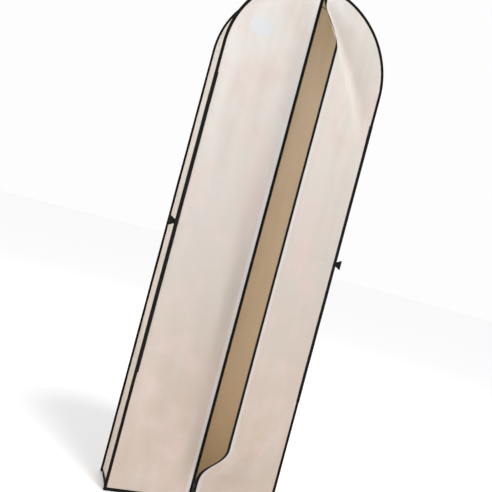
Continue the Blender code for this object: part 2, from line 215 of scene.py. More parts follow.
@dataclass(frozen=True)
class Relief:
    """How far hanging cloth stands off its flat cut: soft folds, dents and seam puckers.

    Heights are in metres; lengths are the size of one fold along and across the hang.
    """

    seed: int
    bow: float = 0.0042
    fold: float = 0.0026
    fold_width: float = 0.062
    fold_length: float = 0.55
    crease: float = 0.0014
    crease_width: float = 0.012
    drift: float = 0.0030
    drift_size: float = 0.26
    crumple: float = 0.0005
    crumple_size: float = 0.045
    pucker: float = 0.00035
    pucker_pitch: float = 0.017
    pucker_reach: float = 0.010
    fade: float = 0.070
    lean: float = 0.10

    def heights(self, across: np.ndarray, along: np.ndarray, to_seam: np.ndarray, width: float) -> np.ndarray:
        """Work out the relief of a panel.

        Args:
            across: Distance across the hang, in metres.
            along: Distance along the hang, in metres.
            to_seam: Distance from the nearest sewn edge, in metres.
            width: Width of the panel between its seams, in metres.

        Returns:
            The height off the flat cut at each point, positive outwards.
        """
        inner = smooth(to_seam / self.fade)
        leaning = (across + self.lean * along) / self.fold_width
        folds = self.fold * cloud(leaning, along / self.fold_length, self.seed)
        slanted = (along - across) / self.drift_size
        drift = self.drift * cloud(across / self.drift_size, slanted, self.seed + 1)
        small = (across + 0.6 * along) / self.crumple_size
        crumple = self.crumple * cloud(small, (along - 0.4 * across) / self.crumple_size, self.seed + 2)
        bow = self.bow * np.sqrt(np.clip(to_seam / (width / 2), 0.0, 1.0))
        pressed = self.crease * np.exp(-np.abs(along - BAG.middle) / self.crease_width)
        phase = (along + across) / self.pucker_pitch
        near = np.exp(-to_seam / self.pucker_reach)
        pucker = self.pucker * near * cloud(phase, np.full_like(phase, 3.5), self.seed + 3)
        return inner * (folds + drift + crumple + bow - pressed) + pucker


# ---------------------------------------------------------------------------------------------
# Mesh helpers


def plain_object(name: str, data: bpy.types.ID) -> bpy.types.Object:
    """Link a mesh, curve, light or camera to the scene as an object at the origin.

    Args:
        name: Name of the object.
        data: What it shows.

    Returns:
        The new object.
    """
    piece = bpy.data.objects.new(name, data)
    bpy.context.scene.collection.objects.link(piece)
    return piece


@contextmanager
def reworked(mesh: bpy.types.Mesh) -> Iterator[bmesh.types.BMesh]:
    """Open a mesh for edits in place and write it back afterwards.

    Args:
        mesh: Mesh to edit.

    Yields:
        The open mesh.
    """
    shape = bmesh.new()
    shape.from_mesh(mesh)
    yield shape
    shape.to_mesh(mesh)
    shape.free()


def round_off(piece: bpy.types.Object, sharp_degrees: float = 40.0) -> bpy.types.Object:
    """Shade a piece smooth, with edges past an angle left sharp.

    Args:
        piece: Piece to shade.
        sharp_degrees: Angle past which an edge stays sharp.

    Returns:
        The same piece.
    """
    piece.data.shade_smooth()
    piece.data.set_sharp_from_angle(angle=math.radians(sharp_degrees))
    return piece


def settle(piece: bpy.types.Object) -> bpy.types.Object:
    """Turn a piece's modifiers into plain mesh and remove them.

    Args:
        piece: Piece with modifiers.

    Returns:
        The same piece.
    """
    bpy.context.view_layer.update()
    evaluated = piece.evaluated_get(bpy.context.evaluated_depsgraph_get())
    mesh = bpy.data.meshes.new_from_object(evaluated)
    mesh.name = piece.name
    piece.modifiers.clear()
    piece.data = mesh
    return piece


def grid_piece(
    name: str, points: np.ndarray, runs: np.ndarray, wrap: bool = False, capped: bool = False
) -> bpy.types.Object:
    """Make a mesh through a grid of points, with its run map.

    Args:
        name: Name of the piece.
        points: Rows by columns by three, in metres.
        runs: Rows by columns by two, the distances that the run map holds.
        wrap: Join the last column to the first, as on a tube.
        capped: Close the two ends of a tube.

    Returns:
        The new object.
    """
    rows, cols = points.shape[:2]
    last = cols if wrap else cols - 1
    faces = []
    for i in range(rows - 1):
        for j in range(last):
            k = (j + 1) % cols
            faces.append((i * cols + j, i * cols + k, (i + 1) * cols + k, (i + 1) * cols + j))
    if capped:
        faces.append(tuple(range(cols))[::-1])
        faces.append(tuple((rows - 1) * cols + j for j in range(cols)))
    mesh = bpy.data.meshes.new(name)
    mesh.from_pydata(points.reshape(-1, 3).tolist(), [], faces)
    layer = mesh.uv_layers.new(name=RUN)
    flat = runs.reshape(-1, 2)
    index = np.empty(len(mesh.loops), int)
    mesh.loops.foreach_get("vertex_index", index)
    layer.data.foreach_set("uv", flat[index].astype(np.float32).ravel())
    mesh.update()
    return plain_object(name, mesh)


def thicken(piece: bpy.types.Object, thickness: float) -> bpy.types.Object:
    """Give a sheet its thickness; its second material, if any, goes on the side away from the normal.

    Args:
        piece: Sheet to thicken.
        thickness: Thickness, half of it on each side.

    Returns:
        The same piece.
    """
    wall = piece.modifiers.new("wall", "SOLIDIFY")
    wall.thickness = thickness
    wall.offset = 0.0
    wall.use_rim = True
    wall.material_offset = 1 if len(piece.data.materials) > 1 else 0
    return settle(piece)


def face_out(piece: bpy.types.Object) -> bpy.types.Object:
    """Turn the faces of a closed piece outwards.

    Args:
        piece: Closed piece.

    Returns:
        The same piece.
    """
    with reworked(piece.data) as shape:
        bmesh.ops.recalc_face_normals(shape, faces=shape.faces)
    return piece


def rounded_profile(width: float, height: float, corner: float, steps: int = 3) -> np.ndarray:
    """Points of a rounded rectangle, counter-clockwise, centred on zero.

    Args:
        width: Size along the first axis.
        height: Size along the second axis.
        corner: Corner radius.
        steps: Segments of each corner.

    Returns:
        Points by two.
    """
    points = []
    for quarter in range(4):
        sx, sy = ((1, 1), (-1, 1), (-1, -1), (1, -1))[quarter]
        for step in range(steps + 1):
            angle = math.pi / 2 * (quarter + step / steps)
            x = sx * (width / 2 - corner) + corner * math.cos(angle)
            y = sy * (height / 2 - corner) + corner * math.sin(angle)
            points.append((x, y))
    return np.array(points)


def round_outline(points: Sequence[Sequence[float]], corner: float, steps: int = 5) -> np.ndarray:
    """Round the corners of a closed outline.

    Args:
        points: Corners in order.
        corner: Length that a corner takes off each of its edges.
        steps: Points of each corner.

    Returns:
        Points by two.
    """
    shape = np.array(points, float)
    result = []
    for k, here in enumerate(shape):
        before, after = shape[k - 1] - here, shape[(k + 1) % len(shape)] - here
        cut = min(corner, 0.48 * np.linalg.norm(before), 0.48 * np.linalg.norm(after))
        a = here + before / np.linalg.norm(before) * cut
        b = here + after / np.linalg.norm(after) * cut
        for t in np.linspace(0, 1, steps):
            result.append((1 - t) ** 2 * a + 2 * t * (1 - t) * here + t * t * b)
    return np.array(result)


def lengths(path: np.ndarray) -> np.ndarray:
    """Distance along a path at each of its points."""
    steps = np.linalg.norm(np.diff(path, axis=0), axis=1)
    return np.concatenate([[0.0], np.cumsum(steps)])


def headings(path: np.ndarray) -> np.ndarray:
    """Unit direction of a path at each of its points.

    Args:
        path: Points by three.

    Returns:
        One direction for each point.
    """
    ahead = np.gradient(path, axis=0)
    return ahead / np.linalg.norm(ahead, axis=1, keepdims=True)


def everywhere(path: np.ndarray, direction: Sequence[float]) -> np.ndarray:
    """The same direction for every point of a path."""
    return np.tile(np.array(direction, float), (len(path), 1))


def sweep(
    name: str, path: np.ndarray, sideways: np.ndarray, upwards: np.ndarray, profile: np.ndarray
) -> bpy.types.Object:
    """Draw a closed profile along a path.

    Args:
        name: Name of the piece.
        path: Points by three.
        sideways: The profile's first axis at each point.
        upwards: The profile's second axis at each point.
        profile: Profile points by two, or path points by profile points by two where it changes.

    Returns:
        A closed tube with its run map: along the path, and round the profile.
    """
    if profile.ndim == 2:
        profile = np.repeat(profile[None], len(path), axis=0)
    ring = path[:, None] + profile[..., :1] * sideways[:, None] + profile[..., 1:] * upwards[:, None]
    along = lengths(path)
    closed = np.concatenate([profile[0], profile[0][:1]])
    around = lengths(closed)[:-1]
    runs = np.stack(np.meshgrid(along, around, indexing="ij"), axis=-1)
    return face_out(grid_piece(name, ring, runs, wrap=True, capped=True))


# ---------------------------------------------------------------------------------------------
# Geometry Nodes for what repeats


def add_node(tree: bpy.types.NodeTree, kind: str, settings: dict, links: dict) -> bpy.types.Node:
    """Add a node with its settings and links.

    Args:
        tree: Node tree to add to.
        kind: Node type.
        settings: Properties of the node, or values of its input sockets by name.
        links: Output sockets to link, by the name or number of the input.

    Returns:
        The new node.
    """
    node = tree.nodes.new(kind)
    for key, value in settings.items():
        if key in node.bl_rna.properties:
            setattr(node, key, value)
        else:
            node.inputs[key].default_value = value
    for key, output in links.items():
        tree.links.new(output, node.inputs[key])
    return node


def grow(
    name: str,
    paths: Sequence[np.ndarray],
    build: Callable,
    sizes: dict[str, float],
    material: bpy.types.Material,
    along_path: bool = True,
) -> bpy.types.Object:
    """Repeat a small unit at an even pitch along open paths and keep the result as plain mesh.

    Args:
        name: Name of the piece.
        paths: One array of points for each path.
        build: Function that adds one unit's nodes and returns its geometry socket.
        sizes: Named sizes of the tree, in metres, "Pitch" among them.
        material: Material that the tree sets.
        along_path: Turn each unit's Z to the path; otherwise the unit keeps the axes of the object.

    Returns:
        The finished piece.
    """
    mesh = bpy.data.meshes.new(name)
    points, edges = [], []
    for path in paths:
        first = len(points)
        points += path.tolist()
        edges += [(first + k, first + k + 1) for k in range(len(path) - 1)]
    mesh.from_pydata(points, edges, [])
    piece = plain_object(name, mesh)
    tree = bpy.data.node_groups.new(name + "_units", "GeometryNodeTree")
    tree.interface.new_socket("Geometry", in_out="INPUT", socket_type="NodeSocketGeometry")
    tree.interface.new_socket("Geometry", in_out="OUTPUT", socket_type="NodeSocketGeometry")
    names = {
        key: tree.interface.new_socket(key, in_out="INPUT", socket_type="NodeSocketFloat").identifier
        for key in sizes
    }
    given = tree.nodes.new("NodeGroupInput")
    curve = add_node(tree, "GeometryNodeMeshToCurve", {}, {"Mesh": given.outputs["Geometry"]})
    links = {"Curve": curve.outputs[0], "Length": given.outputs["Pitch"]}
    spaced = add_node(tree, "GeometryNodeResampleCurve", {"mode": "LENGTH"}, links)
    dots = add_node(tree, "GeometryNodeCurveToPoints", {"mode": "EVALUATED"}, {"Curve": spaced.outputs[0]})
    links = {"Points": dots.outputs["Points"], "Instance": build(tree, given)}
    if along_path:
        links["Rotation"] = dots.outputs["Rotation"]
    placed = add_node(tree, "GeometryNodeInstanceOnPoints", {}, links)
    real = add_node(tree, "GeometryNodeRealizeInstances", {}, {"Geometry": placed.outputs[0]})
    settings, links = {"Material": material}, {"Geometry": real.outputs[0]}
    dressed = add_node(tree, "GeometryNodeSetMaterial", settings, links)
    result = tree.nodes.new("NodeGroupOutput")
    tree.links.new(dressed.outputs[0], result.inputs["Geometry"])
    modifier = piece.modifiers.new("units", "NODES")
    modifier.node_group = tree
    for key, value in sizes.items():
        modifier[names[key]] = value
    return round_off(settle(piece), 50.0)


def ball_of(
    tree: bpy.types.NodeTree, given: bpy.types.Node, keys: Sequence[str], segments: int, rings: int
) -> bpy.types.NodeSocket:
    """A ball of unit size stretched to three named sizes of the tree.

    Args:
        tree: Node tree to add to.
        given: Input node of the tree.
        keys: Names of its three sizes.
        segments: Meridians.
        rings: Parallels.

    Returns:
        The ball's geometry.
    """
    ball = add_node(
        tree, "GeometryNodeMeshUVSphere", {"Segments": segments, "Rings": rings, "Radius": 0.5}, {}
    )
    parts = {axis: given.outputs[key] for axis, key in zip("XYZ", keys)}
    size = add_node(tree, "ShaderNodeCombineXYZ", {}, parts)
    links = {"Geometry": ball.outputs["Mesh"], "Scale": size.outputs[0]}
    return add_node(tree, "GeometryNodeTransform", {}, links).outputs[0]


def stitch_unit(tree: bpy.types.NodeTree, given: bpy.types.Node) -> bpy.types.NodeSocket:
    """One stitch: a plump spindle of thread along the seam."""
    return ball_of(tree, given, ("Thread", "Thread", "Stitch"), 6, 5)


def coil_unit(tree: bpy.types.NodeTree, given: bpy.types.Node) -> bpy.types.NodeSocket:
    """One coil loop: two wires across the tape, front and back, joined by a flattened head.

    Args:
        tree: Node tree to add to.
        given: Input node of the tree.

    Returns:
        The loop's geometry.
    """
    head = ball_of(tree, given, ("Head", "Depth", "Wire"), 8, 6)
    place = add_node(tree, "ShaderNodeCombineXYZ", {}, {"X": given.outputs["Head Place"]})
    links = {"Geometry": head, "Translation": place.outputs[0]}
    parts = [add_node(tree, "GeometryNodeTransform", {}, links).outputs[0]]
    for key in ("Front Wire", "Back Wire"):
        wire = add_node(tree, "GeometryNodeMeshCylinder", {"Vertices": 6, "Radius": 0.4, "Depth": 1.0}, {})
        sizes = {"X": given.outputs["Wire"], "Y": given.outputs["Wire"], "Z": given.outputs["Reach"]}
        size = add_node(tree, "ShaderNodeCombineXYZ", {}, sizes)
        scaled = add_node(
            tree, "GeometryNodeTransform", {}, {"Geometry": wire.outputs["Mesh"], "Scale": size.outputs[0]}
        )
        places = {"X": given.outputs["Wire Place"], "Y": given.outputs[key]}
        shift = add_node(tree, "ShaderNodeCombineXYZ", {}, places)
        settings = {"Rotation": (0.0, math.pi / 2, 0.0)}
        links = {"Geometry": scaled.outputs[0], "Translation": shift.outputs[0]}
        parts.append(add_node(tree, "GeometryNodeTransform", settings, links).outputs[0])
    joined = tree.nodes.new("GeometryNodeJoinGeometry")
    for part in parts:
        tree.links.new(part, joined.inputs[0])
    return joined.outputs[0]


def stitch_rows(
    name: str, rows: Sequence[np.ndarray], pitch: float, material: bpy.types.Material
) -> bpy.types.Object:
    """Rows of lockstitch along paths.

    Args:
        name: Name of the piece.
        rows: One array of points for each row.
        pitch: Length of one stitch with its gap.
        material: Thread material.

    Returns:
        The rows as one piece.
    """
    sizes = {"Pitch": pitch, "Thread": THREAD, "Stitch": 0.82 * pitch}
    return grow(name, rows, stitch_unit, sizes, material)


# ---------------------------------------------------------------------------------------------
# Materials


def colour(code: str) -> tuple[float, float, float, float]:
    """Turn an sRGB hex colour into the linear colour that shaders take.

    Args:
        code: Hash and six hex digits.

    Returns:
        Red, green, blue and alpha.
    """
    parts = [int(code.lstrip("#")[k : k + 2], 16) / 255 for k in (0, 2, 4)]
    linear = [p / 12.92 if p <= 0.04045 else ((p + 0.055) / 1.055) ** 2.4 for p in parts]
    return (*linear, 1.0)


def set_constants(shader: bpy.types.Node, values: dict[str, object]) -> None:
    """Set input sockets of a shader by name."""
    for key, value in values.items():
        shader.inputs[key].default_value = value


def new_material(name: str, roughness: float, metallic: float = 0.0) -> tuple:
    """Start a material.

    Args:
        name: Name of the material.
        roughness: Roughness of its surface.
        metallic: 1 on bare metal.

    Returns:
        The material, its node tree and its Principled shader.
    """
    material = bpy.data.materials.new(name)
    material.use_nodes = True
    shader = material.node_tree.nodes["Principled BSDF"]
    set_constants(shader, {"Roughness": roughness, "Metallic": metallic})
    return material, material.node_tree, shader


def maths(
    tree: bpy.types.NodeTree, operation: str, first: object, second: object = None
) -> bpy.types.NodeSocket:
    """Add a maths node between sockets or numbers and return its result.

    Args:
        tree: Node tree to add to.
        operation: What it does.
        first: First value.
        second: Second value, if any.

    Returns:
        The result.
    """
    node = add_node(tree, "ShaderNodeMath", {"operation": operation}, {})
    for slot, value in enumerate((first, second)):
        if isinstance(value, bpy.types.NodeSocket):
            tree.links.new(value, node.inputs[slot])
        elif value is not None:
            node.inputs[slot].default_value = value
    return node.outputs[0]


def blended(tree: bpy.types.NodeTree, share: object, first: object, second: object) -> bpy.types.NodeSocket:
    """Mix two colours, each a socket or a hex code, by a share that is a socket or a number.

    Args:
        tree: Node tree to add to.
        share: How much of the second.
        first: First colour.
        second: Second colour.

    Returns:
        The mixed colour.
    """
    node = add_node(tree, "ShaderNodeMix", {"data_type": "RGBA"}, {})
    for slot, value in ((0, share), (6, first), (7, second)):
        if isinstance(value, bpy.types.NodeSocket):
            tree.links.new(value, node.inputs[slot])
        else:
            node.inputs[slot].default_value = colour(value) if isinstance(value, str) else value
    return node.outputs[2]


def run_axes(tree: bpy.types.NodeTree) -> tuple[bpy.types.NodeSocket, bpy.types.NodeSocket]:
    """The piece's own distances along and across it, in metres.

    Args:
        tree: Node tree to add to.

    Returns:
        The two distances.
    """
    source = add_node(tree, "ShaderNodeUVMap", {"uv_map": RUN}, {})
    parts = add_node(tree, "ShaderNodeSeparateXYZ", {}, {"Vector": source.outputs[0]})
    return parts.outputs[0], parts.outputs[1]


def noise_of(
    tree: bpy.types.NodeTree, cell: float, detail: float = 2.0, stretch: Sequence[float] = (1, 1, 1)
) -> bpy.types.NodeSocket:
    """Noise on object coordinates whose cells measure a real length in metres.

    Args:
        tree: Node tree to add to.
        cell: Length of a cell.
        detail: Octaves of finer noise.
        stretch: Scale on each axis.

    Returns:
        The noise, from 0 to 1.
    """
    source = add_node(tree, "ShaderNodeTexCoord", {}, {})
    scale = tuple(s / cell for s in stretch)
    mapped = add_node(tree, "ShaderNodeMapping", {"Scale": scale}, {"Vector": source.outputs["Object"]})
    noise = add_node(
        tree, "ShaderNodeTexNoise", {"Scale": 1.0, "Detail": detail}, {"Vector": mapped.outputs[0]}
    )
    return noise.outputs["Fac"]


def ramp(
    tree: bpy.types.NodeTree, value: bpy.types.NodeSocket, low: float, high: float
) -> bpy.types.NodeSocket:
    """Stretch a value between two limits to 0 to 1.

    Args:
        tree: Node tree to add to.
        value: Value.
        low: Value that becomes 0.
        high: Value that becomes 1.

    Returns:
        The stretched value.
    """
    limits = {"From Min": low, "From Max": high}
    node = add_node(tree, "ShaderNodeMapRange", limits, {"Value": value})
    node.clamp = True
    return node.outputs[0]


def emboss(tree: bpy.types.NodeTree, shader: bpy.types.Node, layers: Sequence[tuple]) -> None:
    """Add bump layers, each a height socket from 0 to 1 and its depth in metres.

    Args:
        tree: Node tree to add to.
        shader: Shader that takes them.
        layers: Heights and depths.
    """
    normal = None
    for height, depth in layers:
        links = {"Height": height}
        if normal is not None:
            links["Normal"] = normal
        node = add_node(tree, "ShaderNodeBump", {"Strength": 1.0, "Distance": depth}, links)
        normal = node.outputs[0]
    tree.links.new(normal, shader.inputs["Normal"])


@dataclass(frozen=True)
class SpunbondCloth:
    """Spunbond polypropylene nonwoven: fibres laid at random and welded in a grid of tiny points.

    It gives a matt, slightly cloudy cloth with a faint regular dimple and no weave.
    """

    name: str
    base: str
    blush: str
    # the shade colour serves two things: painted shade in the long fold streaks, and the fibres' own darker
    # grain
    shade: str
    weld_pitch: float = 3.0 * MILLIMETRE  # real welds are 1.2 mm apart, drawn coarser so that they show
    weld_depth: float = 0.10 * MILLIMETRE
    # darker colours for the middle and the foot of the bag: partly painted shade
    belly: str = "#bfb8b2"
    foot: str = "#baaa9d"
    mark: tuple[float, ...] = ()  # centre X and Z, half width and half height of a blank pale print
    mark_tint: str = "#c6cbcf"
    cloud_size: float = 0.11
    streak_size: float = 0.050
    fibre_size: float = 2.2 * MILLIMETRE  # a bundle of fibres; one alone is too fine to show
    sheen: float = 0.10
    glow: float = 0.0

    def make(self) -> bpy.types.Material:
        """Build the material.

        Returns:
            The material.
        """
        material, tree, shader = new_material(self.name, 0.88)
        wide = ramp(tree, noise_of(tree, self.cloud_size, 3.0), 0.46, 0.70)
        # long upright streaks in the shade colour: painted shade of soft folds hanging down the cloth
        tall = ramp(tree, noise_of(tree, self.streak_size, 2.5, (1, 1, 0.10)), 0.44, 0.72)
        fibre = noise_of(tree, self.fibre_size, 3.0, (1.0, 1.0, 0.35))
        place = add_node(tree, "ShaderNodeTexCoord", {}, {})
        rise = add_node(tree, "ShaderNodeSeparateXYZ", {}, {"Vector": place.outputs["Object"]}).outputs[2]
        # darker and warmer from the top down to the foot, partly painted shade
        tint = blended(tree, ramp(tree, rise, BAG.top - 0.35, BAG.middle), self.base, self.belly)
        tint = blended(tree, ramp(tree, rise, BAG.middle, BAG.bottom + 0.30), tint, self.foot)
        grain = ramp(tree, fibre, 0.35, 0.75)
        layers = ((wide, 0.65, self.blush), (tall, 0.45, self.shade), (grain, 0.10, self.shade))
        for share, most, over in layers:
            tint = blended(tree, maths(tree, "MULTIPLY", share, most), tint, over)
        across, along = run_axes(tree)
        if self.mark:
            tint = blended(tree, self.marked(tree, across, along, fibre), tint, self.mark_tint)
        tree.links.new(tint, shader.inputs["Base Color"])
        turn = 2 * math.pi / self.weld_pitch * 0.7071  # the grid of welds stands on its corner
        rows = []
        for way in ("ADD", "SUBTRACT"):
            slanted = maths(tree, way, across, along)
            rows.append(maths(tree, "SINE", maths(tree, "MULTIPLY", slanted, turn)))
        welds = ramp(tree, maths(tree, "MULTIPLY", *rows), 0.9, 0.3)
        emboss(tree, shader, [(fibre, 0.10 * MILLIMETRE), (welds, self.weld_depth)])
        limits = {"To Min": 0.80, "To Max": 0.94}
        spread = add_node(tree, "ShaderNodeMapRange", limits, {"Value": ramp(tree, fibre, 0.2, 0.9)})
        tree.links.new(spread.outputs[0], shader.inputs["Roughness"])
        constants = {
            "Sheen Weight": self.sheen,
            "Sheen Roughness": 0.5,
            "Specular IOR Level": 0.25,
            "Subsurface Weight": self.glow,
            "Subsurface Radius": (1.0, 0.85, 0.7),
            "Subsurface Scale": 3.0 * MILLIMETRE,
        }
        set_constants(shader, constants)
        return material

    def marked(
        self,
        tree: bpy.types.NodeTree,
        across: bpy.types.NodeSocket,
        along: bpy.types.NodeSocket,
        fibre: bpy.types.NodeSocket,
    ) -> bpy.types.NodeSocket:
        """Find where the blank print lies: a soft-cornered patch whose edge frays with the fibres.

        Args:
            tree: Node tree of the material.
            across: Distance across the bag.
            along: Height in the bag.
            fibre: Noise of the cloth's fibres.

        Returns:
            The share of the print's tint, from 0 to 1.
        """
        x, z, half_width, half_height = self.mark
        parts = []
        for axis, centre, half in ((across, x, half_width), (along, z, half_height)):
            offset = maths(tree, "DIVIDE", maths(tree, "SUBTRACT", axis, centre), half)
            parts.append(maths(tree, "POWER", maths(tree, "ABSOLUTE", offset), 3.0))
        reach = maths(tree, "ADD", maths(tree, "ADD", *parts), maths(tree, "MULTIPLY", fibre, 0.35))
        return maths(tree, "MULTIPLY", ramp(tree, reach, 1.60, 0.35), 0.70)


@dataclass(frozen=True)
class WovenTape:
    """Woven narrow tape: ribs across its length, lighter on the rib tops and in soft random patches.

    Bias binding, webbing and zip tape differ in colour, rib pitch and depth.
    """

    name: str
    base: str
    worn: str
    rib_pitch: float  # the ribs of bias and zip tape are about 0.5 mm apart, drawn coarser to show
    rib_depth: float
    skew: float = 0.0
    roughness: float = 0.85
    sheen: float = 0.01

    def make(self) -> bpy.types.Material:
        """Build the material.

        Returns:
            The material.
        """
        material, tree, shader = new_material(self.name, self.roughness)
        along, across = run_axes(tree)
        slanted = maths(tree, "ADD", along, maths(tree, "MULTIPLY", across, self.skew))
        ribs = maths(tree, "SINE", maths(tree, "MULTIPLY", slanted, 2 * math.pi / self.rib_pitch))
        ends = maths(tree, "SINE", maths(tree, "MULTIPLY", across, 2 * math.pi / (self.rib_pitch * 0.8)))
        weave = ramp(tree, maths(tree, "ADD", ribs, maths(tree, "MULTIPLY", ends, 0.35)), -1.2, 1.2)
        fluff = noise_of(tree, 1.5 * MILLIMETRE, 3.0)
        dust = ramp(tree, noise_of(tree, 0.05, 3.0), 0.45, 0.80)
        share = maths(tree, "MULTIPLY", maths(tree, "ADD", maths(tree, "MULTIPLY", weave, 0.5), dust), 0.5)
        tree.links.new(blended(tree, share, self.base, self.worn), shader.inputs["Base Color"])
        emboss(tree, shader, [(fluff, 0.05 * MILLIMETRE), (weave, self.rib_depth)])
        constants = {"Sheen Weight": self.sheen, "Sheen Roughness": 0.4, "Specular IOR Level": 0.15}
        set_constants(shader, constants)
        return material


@dataclass(frozen=True)
class SolidFinish:
    """A moulded or enamelled surface with fine orange peel and small, slightly rubbed patches."""

    name: str
    base: str
    rubbed: str
    roughness: float
    metallic: float = 0.0
    peel: float = 0.8 * MILLIMETRE  # distance between the dimples of the surface
    coat: float = 0.0

    def make(self) -> bpy.types.Material:
        """Build the material.

        Returns:
            The material.
        """
        material, tree, shader = new_material(self.name, self.roughness, self.metallic)
        peel = noise_of(tree, self.peel, 2.0)
        wear = ramp(tree, noise_of(tree, 3.0 * MILLIMETRE, 4.0), 0.55, 0.75)
        tint = blended(tree, maths(tree, "MULTIPLY", wear, 0.35), self.base, self.rubbed)
        tree.links.new(tint, shader.inputs["Base Color"])
        limits = {"To Min": self.roughness - 0.06, "To Max": self.roughness + 0.12}
        rough = add_node(tree, "ShaderNodeMapRange", limits, {"Value": peel})
        tree.links.new(rough.outputs[0], shader.inputs["Roughness"])
        emboss(tree, shader, [(peel, 0.03 * MILLIMETRE)])
        set_constants(shader, {"Coat Weight": self.coat})
        return material


class Finishes:
    """Every finish of the bag, made once."""

    def __init__(self) -> None:
        """Make the materials."""
        # greyish white, warmer in soft clouds and towards the foot, where it is also darker, partly painted
        # shade; its long grey streaks are painted fold shade
        cloth = SpunbondCloth("spunbond_cloth", "#cfc9c3", "#ccb7b2", "#bab5ab", glow=0.6)
        self.cloth = cloth.make()
        # the same cloth with a blank pale patch high on the left half
        mark = (-0.190, -0.216, 0.044, 0.032)
        self.cloth_marked = replace(cloth, name="spunbond_cloth_marked", mark=mark).make()
        # the inner face, brighter and warmer than the outer one, though it is the same cloth: painted light
        # bounced about inside the bag
        self.lining = SpunbondCloth(
            "spunbond_cloth_inner", "#ddd1c4", "#dac9bc", "#d0c2b2", belly="#dbcdbf", foot="#d8c8b7", glow=1.0
        ).make()
        # the side strips, the bottom and the hanger patch, a darker, browner grey: painted shade, for cloth
        # turned away from the light
        self.gusset = SpunbondCloth(
            "spunbond_gusset", "#bbb3a9", "#bfaaa2", "#a39b8b", belly="#b0a79b", foot="#a8998b", glow=0.6
        ).make()
        # two layers of cloth beside the zip, paler and cooler than one
        self.hem = SpunbondCloth(
            "spunbond_hem_doubled", "#cecbc9", "#c9c5c8", "#c0c0bf", belly="#c8c4c3", foot="#c1b7ae"
        ).make()
        # folded tape cut on the bias: matt black with slanting ribs
        self.binding = WovenTape(
            "bias_binding_black", "#0d0805", "#1b1511", 1.6 * MILLIMETRE, 0.12 * MILLIMETRE, skew=1.0
        ).make()
        # thick webbing: matt black with coarse ribs straight across
        self.webbing = WovenTape(
            "polypropylene_webbing_black", "#0d0d0c", "#1c1c1b", 2.0 * MILLIMETRE, 0.25 * MILLIMETRE
        ).make()
        # thin tape: flat black with fine, slightly slanting ribs
        self.zip_tape = WovenTape(
            "zip_tape_black", "#0b0a09", "#181614", 1.2 * MILLIMETRE, 0.10 * MILLIMETRE, skew=0.6
        ).make()
        # extruded wire: dark satin with a small light on each loop
        self.coil = SolidFinish("nylon_coil_black", "#0c0b0b", "#1b1a19", 0.42).make()
        # sprayed enamel on a zinc casting: glossy black, greyer where it is rubbed
        self.enamel = SolidFinish("enamelled_zinc_black", "#131211", "#4a4641", 0.30, 0.35, coat=0.3).make()
        # twisted thread: dull dashes, dark on the tapes and ecru on the hem
        self.thread_dark = WovenTape(
            "polyester_thread_black", "#15110f", "#27211d", 0.5 * MILLIMETRE, 0.03 * MILLIMETRE, skew=1.0
        ).make()
        self.thread_pale = WovenTape(
            "polyester_thread_ecru", "#d9d0c6", "#c9bdae", 0.5 * MILLIMETRE, 0.03 * MILLIMETRE, skew=1.0
        ).make()
        # satin weave: smooth and pale with a soft shine
        self.ribbon = WovenTape(
            "satin_ribbon_blank", "#e7e6e1", "#d7d5cc", 0.9 * MILLIMETRE, 0.04 * MILLIMETRE, roughness=0.5
        ).make()


# ---------------------------------------------------------------------------------------------
# The opening of the front halves


SETTLING_STEPS = 40  # enough for the shares of the opened points to stop changing


